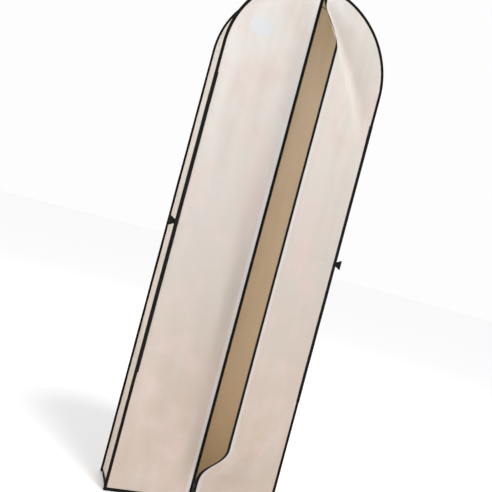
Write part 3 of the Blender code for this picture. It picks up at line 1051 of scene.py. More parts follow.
@dataclass(frozen=True)
class Swing:
    """How one piece of a front half opens about its side seam, from a start point to an end point."""

    side: Side
    zone: Zone

    @property
    def body(self) -> str:
        """The CAD body that the free part rides on."""
        return self.side.word + "_flap"

    @property
    def start(self) -> Vector:
        """Point up to which the piece stays with the bag.

        Returns:
            The point.
        """
        if self.zone is Zone.LOWER:
            return Vector((0.0, BAG.front, BAG.split))
        return Vector((self.side.value * BAG.hinge, BAG.front, BAG.top - BAG.upper_fold_drop))

    @property
    def end(self) -> Vector:
        """Point from which the piece swings whole.

        Returns:
            The point.
        """
        if self.zone is Zone.LOWER:
            return Vector((0.0, BAG.front, BAG.lower_ramp_end))
        rise = BAG.upper_fold_drop - BAG.upper_fold_top
        towards_zip = Vector((-self.side.value * rise, 0.0, -BAG.hinge)).normalized()
        return self.start + towards_zip * BAG.upper_ramp

    @property
    def rest_angle(self) -> float:
        """How far the half stands open at rest."""
        return BAG.open_angle if self.side is Side.RIGHT else 0.0

    def share(self, points: np.ndarray) -> np.ndarray:
        """How far each point turns with the half, from 0 to 1.

        Args:
            points: Points by three.

        Returns:
            One share for each point.
        """
        start = np.array(self.start)
        reach = np.array(self.end) - start
        return smooth((points - start) @ reach / (reach @ reach))

    def turned(self, points: np.ndarray, angles: np.ndarray) -> np.ndarray:
        """Turn points outwards about the side seam.

        Args:
            points: Points by three.
            angles: Angle of each point, in radians.

        Returns:
            The turned points.
        """
        side = self.side.value
        inward = BAG.hinge - side * points[:, 0]
        outward = BAG.front - points[:, 1]
        across = BAG.hinge - inward * np.cos(angles) + outward * np.sin(angles)
        depth = BAG.front - inward * np.sin(angles) - outward * np.cos(angles)
        return np.stack([side * across, depth, points[:, 2]], axis=1)

    def opened(self, points: np.ndarray) -> np.ndarray:
        """Bring closed points to their rest place, each turned by its share at that place.

        Args:
            points: Points of the closed half.

        Returns:
            The points at rest.
        """
        if self.rest_angle == 0.0:
            return points
        share = np.zeros(len(points))
        for _ in range(SETTLING_STEPS):
            share = (share + self.share(self.turned(points, self.rest_angle * share))) / 2
        return self.turned(points, self.rest_angle * share)

    def hang(self, piece: bpy.types.Object) -> bpy.types.Object:
        """Open a finished piece to its rest place and let it bend between the bag and its half.

        Args:
            piece: Piece in its closed place.

        Returns:
            The same piece.
        """
        mesh = piece.data
        points = np.empty(len(mesh.vertices) * 3)
        mesh.vertices.foreach_get("co", points)
        opened = self.opened(points.reshape(-1, 3))
        mesh.vertices.foreach_set("co", opened.astype(np.float32).ravel())
        mesh.update()
        self.body
        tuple(self.start)
        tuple(self.end)
        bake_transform(piece)
        return piece


def dress(piece: bpy.types.Object, material: bpy.types.Material) -> bpy.types.Object:
    """Give a piece its only material, in a slot of its own.

    Args:
        piece: Piece to dress.
        material: Its material.

    Returns:
        The same piece.
    """
    piece.data.materials.clear()
    piece.data.materials.append(material)
    return piece


def report(piece: bpy.types.Object) -> None:
    """Log a finished piece."""
    LOG.info("%s: %d faces", piece.name, len(piece.data.polygons))


# ---------------------------------------------------------------------------------------------
# The front halves


@dataclass
class FrontHalf:
    """One half of the front: cloth with a doubled hem at the zip, zip tape, coil and stitching."""

    side: Side
    finishes: Finishes
    cloth_thickness: float = 0.8 * MILLIMETRE
    zip_edge: float = 12.0 * MILLIMETRE
    hem_width: float = 14.0 * MILLIMETRE
    hem_lift: float = 0.65 * MILLIMETRE
    seam_cover: float = 3.0 * MILLIMETRE
    mesh_pitch: float = 6.5 * MILLIMETRE
    top_gap: float = 1.5 * MILLIMETRE
    tape_inner: float = 1.2 * MILLIMETRE
    tape_outer: float = 17.0 * MILLIMETRE
    tape_thickness: float = 0.6 * MILLIMETRE
    tape_set_back: float = 0.2 * MILLIMETRE
    tooth_pitch: float = 1.5 * MILLIMETRE
    tooth_reach: float = 3.1 * MILLIMETRE
    tooth_depth: float = 2.2 * MILLIMETRE
    tooth_head: float = 1.5 * MILLIMETRE
    wire_share: float = 0.46  # width of the wire as a share of the pitch
    wire_stand: float = 0.32  # how far each wire lies off the middle as a share of the depth
    stitch_pitch: float = 4.0 * MILLIMETRE
    stitch_inset: float = 2.0 * MILLIMETRE
    relief: Relief = field(default_factory=lambda: Relief(seed=11))

    def limits(self, zone: Zone) -> tuple[float, float]:
        """Lowest and highest point of a zone's cloth.

        Args:
            zone: Lower or upper.

        Returns:
            The two heights.
        """
        if zone is Zone.LOWER:
            return BAG.bottom + BAG.seam_inset - self.seam_cover, BAG.middle
        return BAG.middle, BAG.top - BAG.seam_inset + self.seam_cover

    def cloth_points(self, zone: Zone) -> tuple[np.ndarray, np.ndarray]:
        """Closed shape of a zone's cloth.

        Args:
            zone: Lower or upper.

        Returns:
            Grid of points and its distances across and up.
        """
        inset = BAG.seam_inset - self.seam_cover
        low, high = self.limits(zone)
        radius = BAG.half_width - inset
        spring = BAG.spring
        if zone is Zone.LOWER:
            heights = np.linspace(low, high, round((high - low) / self.mesh_pitch))
        else:
            straight = np.linspace(low, spring, round((spring - low) / self.mesh_pitch))
            top_angle = math.acos((self.zip_edge + self.top_gap) / radius)
            angles = np.linspace(0, top_angle, round(radius * 1.5 / self.mesh_pitch))[1:]
            heights = np.concatenate([straight, spring + radius * np.sin(angles)])
        widths = BAG.half_width_at(heights, inset)
        count = round(BAG.half_width / self.mesh_pitch)
        shares = np.linspace(0, 1, count)
        across = self.zip_edge + shares[None] * (widths[:, None] - self.zip_edge)
        along = np.repeat(heights[:, None], count, axis=1)
        to_side = widths[:, None] - across
        above = np.maximum(along - spring, 0.0)
        to_arch = np.where(above > 0, radius - np.hypot(across, above), to_side)
        to_zip = across - self.zip_edge
        to_seam = np.minimum(np.minimum(to_side, to_arch), np.minimum(along - BAG.bottom, to_zip))
        side = self.side.value
        raised = self.relief.heights(side * across, along, np.maximum(to_seam, 0), BAG.half_width)
        hem = self.hem_lift * (1 - smooth((to_zip - self.hem_width) / (0.8 * self.hem_width)))
        depth = BAG.front - raised - hem
        points = np.stack([side * across, depth, along], axis=-1)
        return points, np.stack([side * across, along], axis=-1)

    def build_cloth(self, zone: Zone) -> bpy.types.Object:
        """Build one cloth piece, with its doubled hem in a paler material.

        Args:
            zone: Lower or upper.

        Returns:
            The finished piece.
        """
        points, runs = self.cloth_points(zone)
        if self.side is Side.LEFT:
            points, runs = points[:, ::-1], runs[:, ::-1]
        name = f"front_cloth_{self.side.word}_{zone.value}"
        cloth = grid_piece(name, points, runs)
        marked = self.side is Side.LEFT and zone is Zone.UPPER
        outer = self.finishes.cloth_marked if marked else self.finishes.cloth
        for material in (outer, self.finishes.lining, self.finishes.hem):
            cloth.data.materials.append(material)
        thicken(cloth, self.cloth_thickness)
        edge = self.zip_edge + self.hem_width
        for face in cloth.data.polygons:
            if face.material_index == 0 and abs(face.center.x) < edge:
                face.material_index = 2
        round_off(cloth, 60.0)
        Swing(self.side, zone).hang(cloth)
        return self.stands_for(cloth, "front", zone)

    def stands_for(self, piece: bpy.types.Object, stem: str, zone: Zone) -> bpy.types.Object:
        """Let a piece stand for the CAD nodes of its zone; the middle node goes with the lower one."""
        words = [zone.value] if zone is Zone.UPPER else [zone.value, "middle"]
        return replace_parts(piece, *(f"{stem}_{self.side.word}_{word}" for word in words))

    def zip_limits(self, zone: Zone) -> tuple[float, float]:
        """Lowest and highest point of the zip's coil in a zone.

        Args:
            zone: Lower or upper.

        Returns:
            The two heights.
        """
        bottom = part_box("zip_bottom_stop")[1].z
        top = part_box("zip_top_stop_left")[0].z
        return (bottom, BAG.middle) if zone is Zone.LOWER else (BAG.middle, top)

    def build_tape(self, zone: Zone) -> bpy.types.Object:
        """Build the woven tape that carries the coil, with a bead along its inner edge.

        Args:
            zone: Lower or upper.

        Returns:
            The finished piece.
        """
        low, high = self.limits(zone)
        heights = np.linspace(low, high, round((high - low) / self.mesh_pitch))
        side = self.side.value
        rim = self.tape_thickness / 2
        profile = rounded_profile(self.tape_outer - self.tape_inner, 2 * rim, 0.8 * rim, 2)
        centre = side * (self.tape_inner + self.tape_outer) / 2
        depth = BAG.front + self.tape_set_back
        path = np.stack([np.full_like(heights, centre), np.full_like(heights, depth), heights], axis=1)
        sideways, upwards = everywhere(path, (1.0, 0.0, 0.0)), everywhere(path, (0.0, -1.0, 0.0))
        tape = sweep(f"zip_tape_{self.side.word}_{zone.value}_weave", path, sideways, upwards, profile)
        dress(round_off(tape), self.finishes.zip_tape)
        Swing(self.side, zone).hang(tape)
        return self.stands_for(tape, "zip_tape", zone)

    def build_coil(self, zone: Zone) -> bpy.types.Object:
        """Build the coil: one loop of nylon wire each pitch, set half a pitch off the other row.

        Args:
            zone: Lower or upper.

        Returns:
            The finished piece.
        """
        low, high = self.zip_limits(zone)
        side = self.side.value
        shift = self.tooth_pitch / 2 if self.side is Side.RIGHT else 0.0
        row = np.array([[0.0, BAG.front, low + shift], [0.0, BAG.front, high]])
        sizes = {
            "Pitch": self.tooth_pitch,
            "Wire": self.wire_share * self.tooth_pitch,
            "Reach": self.tooth_reach,
            "Depth": self.tooth_depth,
            "Head": self.tooth_head,
            "Head Place": side * 0.1 * MILLIMETRE,
            "Wire Place": side * self.tooth_reach / 2,
            "Front Wire": -self.wire_stand * self.tooth_depth,
            "Back Wire": self.wire_stand * self.tooth_depth,
        }
        name = f"zip_coil_{self.side.word}_{zone.value}_loops"
        coil = grow(name, [row], coil_unit, sizes, self.finishes.coil, along_path=False)
        Swing(self.side, zone).hang(coil)
        return self.stands_for(coil, "zip_coil", zone)

    def build_stitching(self, zone: Zone) -> bpy.types.Object:
        """Build the two rows of lockstitch that hold the hem to the zip tape.

        Args:
            zone: Lower or upper.

        Returns:
            The finished piece.
        """
        low, high = self.limits(zone)
        side = self.side.value
        depth = BAG.front - self.hem_lift - self.cloth_thickness / 2
        margin = 4 * self.seam_cover
        rows = []
        for offset in (self.stitch_inset, self.hem_width - self.stitch_inset):
            across = side * (self.zip_edge + offset)
            top = min(high, BAG.top - margin)
            bottom = max(low, BAG.bottom + margin)
            rows.append(np.array([[across, depth, bottom], [across, depth, top]]))
        name = f"zip_stitching_{self.side.word}_{zone.value}"
        stitches = stitch_rows(name, rows, self.stitch_pitch, self.finishes.thread_pale)
        return Swing(self.side, zone).hang(stitches)

    def build(self) -> None:
        """Build every piece of the half."""
        for zone in Zone:
            for piece in (
                self.build_cloth(zone),
                self.build_tape(zone),
                self.build_coil(zone),
                self.build_stitching(zone),
            ):
                report(piece)


# ---------------------------------------------------------------------------------------------
# The back, the side gussets and the bottom


@dataclass
class BodyCloth:
    """The fixed cloth: back panel, the gusset strips of the two sides and the bottom strip."""

    finishes: Finishes
    thickness: float = 0.8 * MILLIMETRE
    mesh_pitch: float = 7.0 * MILLIMETRE
    seam_cover: float = 2.0 * MILLIMETRE
    gusset_sag: float = 9.0 * MILLIMETRE
    gusset_pleat: float = 2.2 * MILLIMETRE
    gusset_columns: int = 25
    gusset_foot: float = 3.0 * MILLIMETRE
    arch_end: float = math.radians(89.3)  # short of the crown, where the panel's columns would meet
    crease_softness: float = 0.12
    patch_half_width: float = 33.0 * MILLIMETRE
    base_rise: float = 5.0 * MILLIMETRE
    binding_gap: float = 0.3 * MILLIMETRE
    back_relief: Relief = field(default_factory=lambda: Relief(seed=31, bow=0.007, fold=0.0024))
    gusset_relief: Relief = field(
        default_factory=lambda: Relief(
            seed=47, bow=0.0, fold=0.0012, fold_width=0.05, fade=0.03, pucker=0.0005
        )
    )

    def finish_sheet(
        self, name: str, points: np.ndarray, runs: np.ndarray, outer: bpy.types.Material
    ) -> bpy.types.Object:
        """Make, thicken and fix a sheet to the bag.

        Args:
            name: Name of the piece.
            points: Grid of points of its middle surface, its normals outwards.
            runs: Distances of each point for the run map.
            outer: Material of the outer face.

        Returns:
            The finished piece.
        """
        piece = grid_piece(name, points, runs)
        piece.data.materials.append(outer)
        piece.data.materials.append(self.finishes.lining)
        thicken(piece, self.thickness)
        round_off(piece, 60.0)
        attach(piece, "bag")
        report(piece)
        return piece

    def build_back(self) -> bpy.types.Object:
        """Build the back panel.

        Returns:
            The finished piece.
        """
        inset = BAG.seam_inset - self.seam_cover
        radius = BAG.half_width - inset
        spring = BAG.spring
        low = BAG.bottom + inset
        straight = np.linspace(low, spring, round((spring - low) / self.mesh_pitch))
        angles = np.linspace(0, self.arch_end, round(radius * 1.57 / self.mesh_pitch))[1:]
        heights = np.concatenate([straight, spring + radius * np.sin(angles)])
        widths = BAG.half_width_at(heights, inset)
        count = round(2 * BAG.half_width / self.mesh_pitch)
        across = np.linspace(1, -1, count)[None] * widths[:, None]
        along = np.repeat(heights[:, None], count, axis=1)
        above = np.maximum(along - spring, 0.0)
        to_edge = np.where(above > 0, radius - np.hypot(across, above), widths[:, None] - np.abs(across))
        to_seam = np.maximum(np.minimum(to_edge, along - low), 0)
        raised = self.back_relief.heights(across, along, to_seam, 2 * BAG.half_width)
        points = np.stack([across, BAG.back + raised, along], axis=-1)
        runs = np.stack([across, along], axis=-1)
        back = self.finish_sheet("back_cloth", points, runs, self.finishes.cloth)
        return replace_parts(back, "back_panel")

    def side_path(self, side: Side) -> tuple[np.ndarray, np.ndarray]:
        """Outline of one side, from the bottom up and over the arch.

        Args:
            side: Left or right.

        Returns:
            Points in the XZ plane and the outward normals there.
        """
        radius = BAG.half_width - SEAM_STAND
        spring = BAG.spring
        low = BAG.bottom + self.gusset_foot
        heights = np.linspace(low, spring, round((spring - low) / self.mesh_pitch))
        last = math.acos(self.patch_half_width / radius)
        angles = np.linspace(0, last, round(radius * last / self.mesh_pitch))[1:]
        straight = np.stack([np.full_like(heights, radius), heights], axis=1)
        arch = np.stack([radius * np.cos(angles), spring + radius * np.sin(angles)], axis=1)
        normals = np.concatenate(
            [np.tile([1.0, 0.0], (len(heights), 1)), np.stack([np.cos(angles), np.sin(angles)], axis=1)]
        )
        path = np.concatenate([straight, arch])
        mirror = np.array([side.value, 1.0])
        return path * mirror, normals * mirror

    def build_gusset(self, side: Side) -> bpy.types.Object:
        """Build one side strip, which folds inwards along its middle as the bag hangs.

        Args:
            side: Left or right.

        Returns:
            The finished piece.
        """
        path, normals = self.side_path(side)
        along = lengths(path)
        half = BAG.half_depth - self.binding_gap
        middle = (BAG.back + BAG.front) / 2
        across = np.linspace(-half, half, self.gusset_columns)
        share = np.abs(across / half)[None]
        crease = 1 - (self.crease_softness**2 + share**2) ** 0.5
        # the fold is shallower near the bottom and over the arch
        taper = (0.45 + 0.55 * smooth(along / 0.5)) * (1 - 0.75 * smooth((along - along[-1] + 0.5) / 0.45))
        u, v = np.meshgrid(across, along, indexing="xy")
        sag = self.gusset_sag * taper[:, None] * np.clip(crease, 0, 1)
        sag = sag * (1 + 0.35 * cloud(v / 0.33, u * 0 + 0.5, 53 + side.value))
        pleat = np.sin(3 * math.pi * share) * cloud(v / 0.42, np.sign(u) + 7.5, 57 + side.value)
        sag = sag + self.gusset_pleat * smooth((1 - share) / 0.3) * pleat
        to_seam = np.maximum(half - np.abs(u), 0.0)
        raised = self.gusset_relief.heights(u, v, to_seam, 2 * half) - sag
        points = np.empty((*u.shape, 3))
        points[..., 0] = path[:, None, 0] + normals[:, None, 0] * raised
        points[..., 1] = middle + u
        points[..., 2] = path[:, None, 1] + normals[:, None, 1] * raised
        runs = np.stack([u, v], axis=-1)
        if side is Side.LEFT:
            points, runs = points[:, ::-1], runs[:, ::-1]
        name = f"gusset_cloth_{side.word}"
        gusset = self.finish_sheet(name, points, runs, self.finishes.gusset)
        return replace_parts(gusset, "gusset_" + side.word)

    def build_base(self) -> bpy.types.Object:
        """Build the bottom strip, creased upwards along its middle.

        Returns:
            The finished piece.
        """
        half = BAG.half_depth - self.binding_gap
        reach = BAG.half_width - SEAM_STAND
        across = np.linspace(-reach, reach, round(2 * reach / self.mesh_pitch))
        depth = np.linspace(half, -half, 21)
        u, v = np.meshgrid(across, depth, indexing="ij")
        to_seam = np.minimum(reach - np.abs(u), half - np.abs(v))
        rise = self.base_rise * smooth(to_seam / half)
        wave = 0.0009 * smooth(to_seam / 0.03) * cloud(u / 0.09, v / 0.07, 61)
        points = np.stack([u, v, BAG.bottom + SEAM_STAND + rise + wave], axis=-1)
        base = self.finish_sheet("base_cloth", points, np.stack([u, v], axis=-1), self.finishes.gusset)
        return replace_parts(base, "base_panel")

    def build(self) -> None:
        """Build the fixed cloth."""
        self.build_back()
        for side in Side:
            self.build_gusset(side)
        self.build_base()


# ---------------------------------------------------------------------------------------------
# Bindings


@dataclass
class EdgeBindings:
    """Black bias binding: every seam's edge stands out of the corner as a flat bound rib."""

    finishes: Finishes
    width: float = 10.8 * MILLIMETRE
    stand_out: float = 0.8 * MILLIMETRE
    thickness: float = 2.6 * MILLIMETRE
    corner: float = 1.2 * MILLIMETRE
    step: float = 6.0 * MILLIMETRE
    waver: float = 0.45 * MILLIMETRE
    waver_lengths: tuple[float, float] = (0.110, 0.035)
    stitch_inset: float = 7.4 * MILLIMETRE
    stitch_pitch: float = 3.6 * MILLIMETRE
    stitch_margin: float = 10.0 * MILLIMETRE

    @property
    def profile(self) -> np.ndarray:
        """Cross-section of the binding."""
        return rounded_profile(self.width, self.thickness, self.corner)

    def outline(self, inset: float, depth: float, low: float) -> tuple[np.ndarray, np.ndarray]:
        """The arched outline at an inset from the edge.

        Args:
            inset: Distance from the outer edge.
            depth: Y of the outline.
            low: Height of its two lower ends.

        Returns:
            Points, and the outward directions there.
        """
        radius = BAG.half_width - inset
        spring = BAG.spring
        rise = np.linspace(low, spring, round((spring - low) / self.step))
        turn = np.linspace(0, math.pi, round(math.pi * radius / self.step))
        angles = np.concatenate([rise * 0, turn[1:-1], rise * 0 + math.pi])
        heights = np.concatenate([rise, spring + radius * np.sin(turn[1:-1]), rise[::-1]])
        zero = angles * 0
        points = np.stack([radius * np.cos(angles), zero + depth, heights], axis=1)
        return points, np.stack([np.cos(angles), zero, np.sin(angles)], axis=1)

    def waved(self, points: np.ndarray, outwards: np.ndarray, seed: int) -> np.ndarray:
        """Let a path waver a little along its outward direction, as sewn tape does.

        Args:
            points: Path.
            outwards: Directions that it wavers in.
            seed: Seed of the waver.

        Returns:
            The wavering path.
        """
        along = lengths(points)
        ease = smooth(np.minimum(along, along[-1] - along) / 0.02)[:, None]
        row = np.full_like(along, 0.5)
        slow, quick = (cloud(along / length, row, seed + k) for k, length in enumerate(self.waver_lengths))
        aside = 0.6 * slow + 0.4 * quick
        return points + ease * self.waver * aside[:, None] * outwards

    def fix(self, tape: bpy.types.Object, node: str) -> None:
        """Dress a tape and fix it to the bag.

        Args:
            tape: Tape.
            node: CAD node that it stands for.
        """
        dress(round_off(tape), self.finishes.binding)
        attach(tape, "bag")
        report(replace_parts(tape, node))

    def bar(self, node: str, start: Sequence[float], end: Sequence[float], up: Sequence[float]) -> None:
        """Build the binding of a straight bottom edge.

        Args:
            node: CAD node that it stands for.
            start: One end of the edge.
            end: The other end.
            up: Direction that the face above the edge looks in.
        """
        count = max(6, round((Vector(end) - Vector(start)).length / self.step))
        path = np.linspace(start, end, count)
        facing = everywhere(path, up)
        path = self.waved(path, facing * 0.5, 71 + len(node))
        self.fix(sweep(node + "_tape", path, everywhere(path, (0.0, 0.0, -1.0)), facing, self.profile), node)

    def build(self) -> None:
        """Build every binding and its stitching."""
        reach, low = BAG.half_width, BAG.bottom + self.width / 2
        rows = []
        for word, depth, seed in (("front", BAG.front, 3), ("back", BAG.back, 5)):
            facing = math.copysign(1.0, depth)
            face = np.array([0.0, facing, 0.0])
            points, outwards = self.outline(self.width / 2 - self.stand_out, depth, low)
            path = self.waved(points, outwards, seed)
            tape = sweep(f"{word}_binding_tape", path, outwards, everywhere(path, face), self.profile)
            self.fix(tape, f"{word}_binding")
            self.bar(f"{word}_base_binding", (-reach, depth, low), (reach, depth, low), face)
            top = depth + facing * self.thickness / 2
            points, outwards = self.outline(self.stitch_inset, top, BAG.bottom + self.stitch_margin)
            rows.append(self.waved(points, outwards, seed))
            line = BAG.bottom + self.stitch_inset
            end = reach - self.stitch_margin
            rows.append(np.array([[-end, top, line], [end, top, line]]))
        for side in Side:
            across = side.value * (reach - SEAM_STAND)
            ends = (across, BAG.front, low), (across, BAG.back, low)
            self.bar(f"{side.word}_base_binding", *ends, (side.value, 0.0, 0.0))
        stitches = stitch_rows("binding_stitching", rows, self.stitch_pitch, self.finishes.thread_dark)
        report(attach(stitches, "bag"))


# ---------------------------------------------------------------------------------------------
# Webbing on the side seams, and the carry loops


@dataclass
class SideWebbing:
    """Webbing wrapped over one front side seam, and the short carry loop at half height."""

    side: Side
    finishes: Finishes
    face: float = 13.4 * MILLIMETRE
    rise: float = 2.2 * MILLIMETRE
    out: float = 1.2 * MILLIMETRE
    corner: float = 1.7 * MILLIMETRE
    step: float = 8.0 * MILLIMETRE
    stitch_pitch: float = 4.2 * MILLIMETRE
    loop_thickness: float = 1.5 * MILLIMETRE
    loop_height: float = 35.0 * MILLIMETRE
    neck_height: float = 17.0 * MILLIMETRE
    loop_depth: float = 8.4 * MILLIMETRE
    hollow: float = 6.0 * MILLIMETRE
    neck_spread: float = 0.8 * MILLIMETRE
    neck_inset: float = 0.8 * MILLIMETRE
    bend_reach: float = 2.0 * MILLIMETRE
    waver: float = 0.35 * MILLIMETRE
    waver_length: float = 0.090
    stitch_inset: float = 2.2 * MILLIMETRE

    @property
    def node(self) -> str:
        """Name of the CAD node of the webbing."""
        return "side_tape_" + self.side.word

    def build_webbing(self) -> None:
        """Build the webbing, its two rows of stitching and a row across each end."""
        low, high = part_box(self.node)
        heights = np.linspace(low.z, high.z, round((high.z - low.z) / self.step))
        zero = heights * 0
        waver = self.waver * cloud(heights / self.waver_length, zero + 0.5, 83 + self.side.value)
        middle = self.side.value * (BAG.half_width + self.out - self.face / 2)
        path = np.stack([middle + waver, zero + BAG.front, heights], axis=1)
        sideways = everywhere(path, (self.side.value, 0.0, 0.0))
        upwards = everywhere(path, (0.0, -1.0, 0.0))
        profile = rounded_profile(self.face, 2 * self.rise, self.corner, 4)
        tape = sweep(self.node + "_webbing", path, sideways, upwards, profile)
        dress(round_off(tape, 50.0), self.finishes.webbing)
        report(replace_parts(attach(tape, "bag"), self.node))
        face, edge = BAG.front - self.rise, self.stitch_inset
        outer = BAG.half_width + self.out
        rows = []
        for inset in (edge, self.face - edge):
            across = self.side.value * (outer - self.face + inset)
            rows.append(np.array([[across, face, low.z + edge], [across, face, high.z - edge]]))
        for end in (low.z + 2 * edge, high.z - 2 * edge):
            ends = [outer - self.face + edge, outer - edge]
            rows.append(np.array([[self.side.value * x, face, end] for x in ends]))
        name = self.node + "_stitching"
        stitches = stitch_rows(name, rows, self.stitch_pitch, self.finishes.thread_dark)
        report(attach(stitches, "bag"))

    def build_loop(self) -> None:
        """Build the carry loop: webbing doubled into a drop-shaped eye, its ends caught in the seam."""
        node = "carry_loop_" + self.side.word
        low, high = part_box(node)
        start = min(abs(low.x), abs(high.x)) - BAG.half_width - self.neck_inset
        end = max(abs(low.x), abs(high.x)) - BAG.half_width - self.loop_thickness / 2
        turn = np.linspace(-math.pi, math.pi, 49)
        share = (1 + np.cos(turn)) / 2
        out = start + (end - start) * share
        swell = np.sin(turn) * share**0.9
        half_depth = (self.loop_depth - self.loop_thickness) / 2
        aside = half_depth * swell / np.abs(swell).max()
        aside = aside + self.neck_spread * np.sign(turn) * (1 - share) ** 4
        middle = (low.z + high.z) / 2
        path = np.stack(
            [self.side.value * (BAG.half_width + out), BAG.front + aside, np.full_like(out, middle)], axis=1
        )
        upright = everywhere(path, (0.0, 0.0, 1.0))
        outwards = np.cross(headings(path), upright)
        heights = self.neck_height + (self.loop_height - self.neck_height) * share**1.3
        profiles = np.stack(
            [rounded_profile(h, self.loop_thickness, 0.45 * self.loop_thickness, 2) for h in heights]
        )
        loop = sweep(node + "_webbing", path, upright, outwards, profiles)
        for point in loop.data.vertices:
            reach = (abs(point.co.x) - BAG.half_width - start) / (end - start)
            upright = (point.co.z - middle) / (self.loop_height / 2)
            point.co.x -= self.side.value * self.hollow * max(reach, 0.0) ** 2 * (1 - min(upright**2, 1.0))
        dress(round_off(loop, 50.0), self.finishes.webbing)
        reach = self.side.value * self.bend_reach
        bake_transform(loop)
        report(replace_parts(loop, node))

    def build(self) -> None:
        """Build the webbing and the loop."""
        self.build_webbing()
        self.build_loop()


# ---------------------------------------------------------------------------------------------
# Hanger opening


@dataclass
class HangerOpening:
    """The doubled patch at the top of the arch, with a bound slot for the hanger's hook."""

    finishes: Finishes
    half_width: float = 35.0 * MILLIMETRE
    thickness: float = 1.4 * MILLIMETRE
    slot_half_length: float = 20.0 * MILLIMETRE
    slot_half_depth: float = 6.5 * MILLIMETRE
    binding_gap: float = 0.6 * MILLIMETRE
    cut_back: float = 0.5 * MILLIMETRE
    sag: float = 1.2 * MILLIMETRE
    lip: float = 5.0 * MILLIMETRE
    lip_thickness: float = 1.6 * MILLIMETRE
    turns: int = 96

    def on_arch(self, across: np.ndarray, depth: np.ndarray, lift: float) -> np.ndarray:
        """Put points on the curved top, at a lift above the cloth.

        Args:
            across: X of each point.
            depth: Y of each point.
            lift: Height above the cloth.

        Returns:
            Points with X, Y and Z.
        """
        radius = BAG.half_width - SEAM_STAND + lift
        height = BAG.spring + np.sqrt(radius**2 - across**2)
        sag = self.sag * np.cos(np.clip(depth / BAG.back, -1, 1) * math.pi / 2)
        return np.stack([across, depth, height - sag], axis=-1)

    def slot_line(self, grow_by: float) -> np.ndarray:
        """Outline of the slot, a long rounded hole, enlarged evenly.

        Args:
            grow_by: Distance outwards.

        Returns:
            Points by two.
        """
        turn = np.linspace(0, 2 * math.pi, self.turns, endpoint=False)
        length = self.slot_half_length - self.slot_half_depth
        across = length * np.tanh(6 * np.cos(turn)) + (self.slot_half_depth + grow_by) * np.cos(turn)
        depth = (self.slot_half_depth + grow_by) * np.sin(turn)
        return np.stack([across, depth], axis=-1)

    def build_patch(self) -> None:
        """Build the doubled cloth patch round the slot."""
        inner = self.slot_line(self.cut_back)
        turn = np.linspace(0, 2 * math.pi, self.turns, endpoint=False)
        half_depth = BAG.half_depth - self.binding_gap
        reach = np.maximum(np.abs(np.cos(turn)), np.abs(np.sin(turn)))
        outer = np.stack([self.half_width * np.cos(turn) / reach, half_depth * np.sin(turn) / reach], axis=-1)
        share = np.linspace(0, 1, 14)[:, None, None]
        flat = inner[None] * (1 - share) + outer[None] * share
        points = self.on_arch(flat[..., 0], flat[..., 1], self.thickness / 2)
        patch = grid_piece("hanger_patch_cloth", points[:, ::-1], flat[:, ::-1], wrap=True)
        patch.data.materials.append(self.finishes.gusset)
        patch.data.materials.append(self.finishes.lining)
        thicken(patch, self.thickness)
        round_off(patch, 60.0)
        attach(patch, "bag")
        report(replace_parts(patch, "hanger_patch"))

    def build_lip(self) -> None:
        """Build the binding round the slot."""
        line = self.slot_line(self.lip / 2)
        centre = self.on_arch(line[:, 0], line[:, 1], self.thickness + self.lip_thickness / 4)
        outwards = self.slot_line(self.lip) - line
        outwards /= np.linalg.norm(outwards, axis=1, keepdims=True)
        sideways = np.concatenate([outwards, np.zeros((self.turns, 1))], axis=1)
        profile = rounded_profile(self.lip, self.lip_thickness, 0.7 * MILLIMETRE)
        ring = centre[:, None] + profile[None, :, :1] * sideways[:, None]
        ring = ring + profile[None, :, 1:] * np.array([0.0, 0.0, 1.0])
        ring = np.concatenate([ring, ring[:1]])
        along = lengths(ring[:, 0])
        around = np.arange(len(profile)) * MILLIMETRE
        runs = np.stack(np.meshgrid(along, around, indexing="ij"), axis=-1)
        lip = grid_piece("hanger_slot_binding_tape", ring, runs, wrap=True)
        with reworked(lip.data) as shape:
            bmesh.ops.remove_doubles(shape, verts=shape.verts, dist=WELD)
        dress(round_off(face_out(lip)), self.finishes.binding)
        report(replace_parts(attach(lip, "bag"), "hanger_slot_binding"))

    def build(self) -> None:
        """Build the patch and the bound slot."""
        self.build_patch()
        self.build_lip()


# ---------------------------------------------------------------------------------------------
# Zip slider, pull, stops and the care label


def plate(
    name: str, outlines: Sequence[np.ndarray], thickness: float, edge: float, depth: float
) -> bpy.types.Object:
    """Cut a flat plate with rounded edges, its outlines in X and Z, its middle at a depth.

    Args:
        name: Name of the piece.
        outlines: Closed outlines; those inside another are holes.
        thickness: Thickness along Y.
        edge: Rounding of its edges.
        depth: Y of its middle.

    Returns:
        The plate as a mesh object.
    """
    curve = bpy.data.curves.new(name, "CURVE")
    curve.dimensions = "2D"
    curve.fill_mode = "BOTH"
    curve.extrude = thickness / 2 - edge
    curve.bevel_depth = edge
    curve.bevel_resolution = 2
    curve.offset = -edge
    for outline in outlines:
        spline = curve.splines.new("POLY")
        spline.points.add(len(outline) - 1)
        flat = np.concatenate([outline, np.zeros((len(outline), 1)), np.ones((len(outline), 1))], axis=1)
        spline.points.foreach_set("co", flat.astype(np.float32).ravel())
        spline.use_cyclic_u = True
    shape = plain_object(name + "_outline", curve)
    bpy.context.view_layer.update()
    mesh = bpy.data.meshes.new_from_object(shape.evaluated_get(bpy.context.evaluated_depsgraph_get()))
    bpy.data.objects.remove(shape)
    mesh.transform(Matrix.Translation((0, depth, 0)) @ Matrix.Rotation(math.pi / 2, 4, "X"))
    with reworked(mesh) as sealed:
        bmesh.ops.remove_doubles(sealed, verts=sealed.verts, dist=WELD)
        bmesh.ops.recalc_face_normals(sealed, faces=sealed.faces)
    return plain_object(name, mesh)


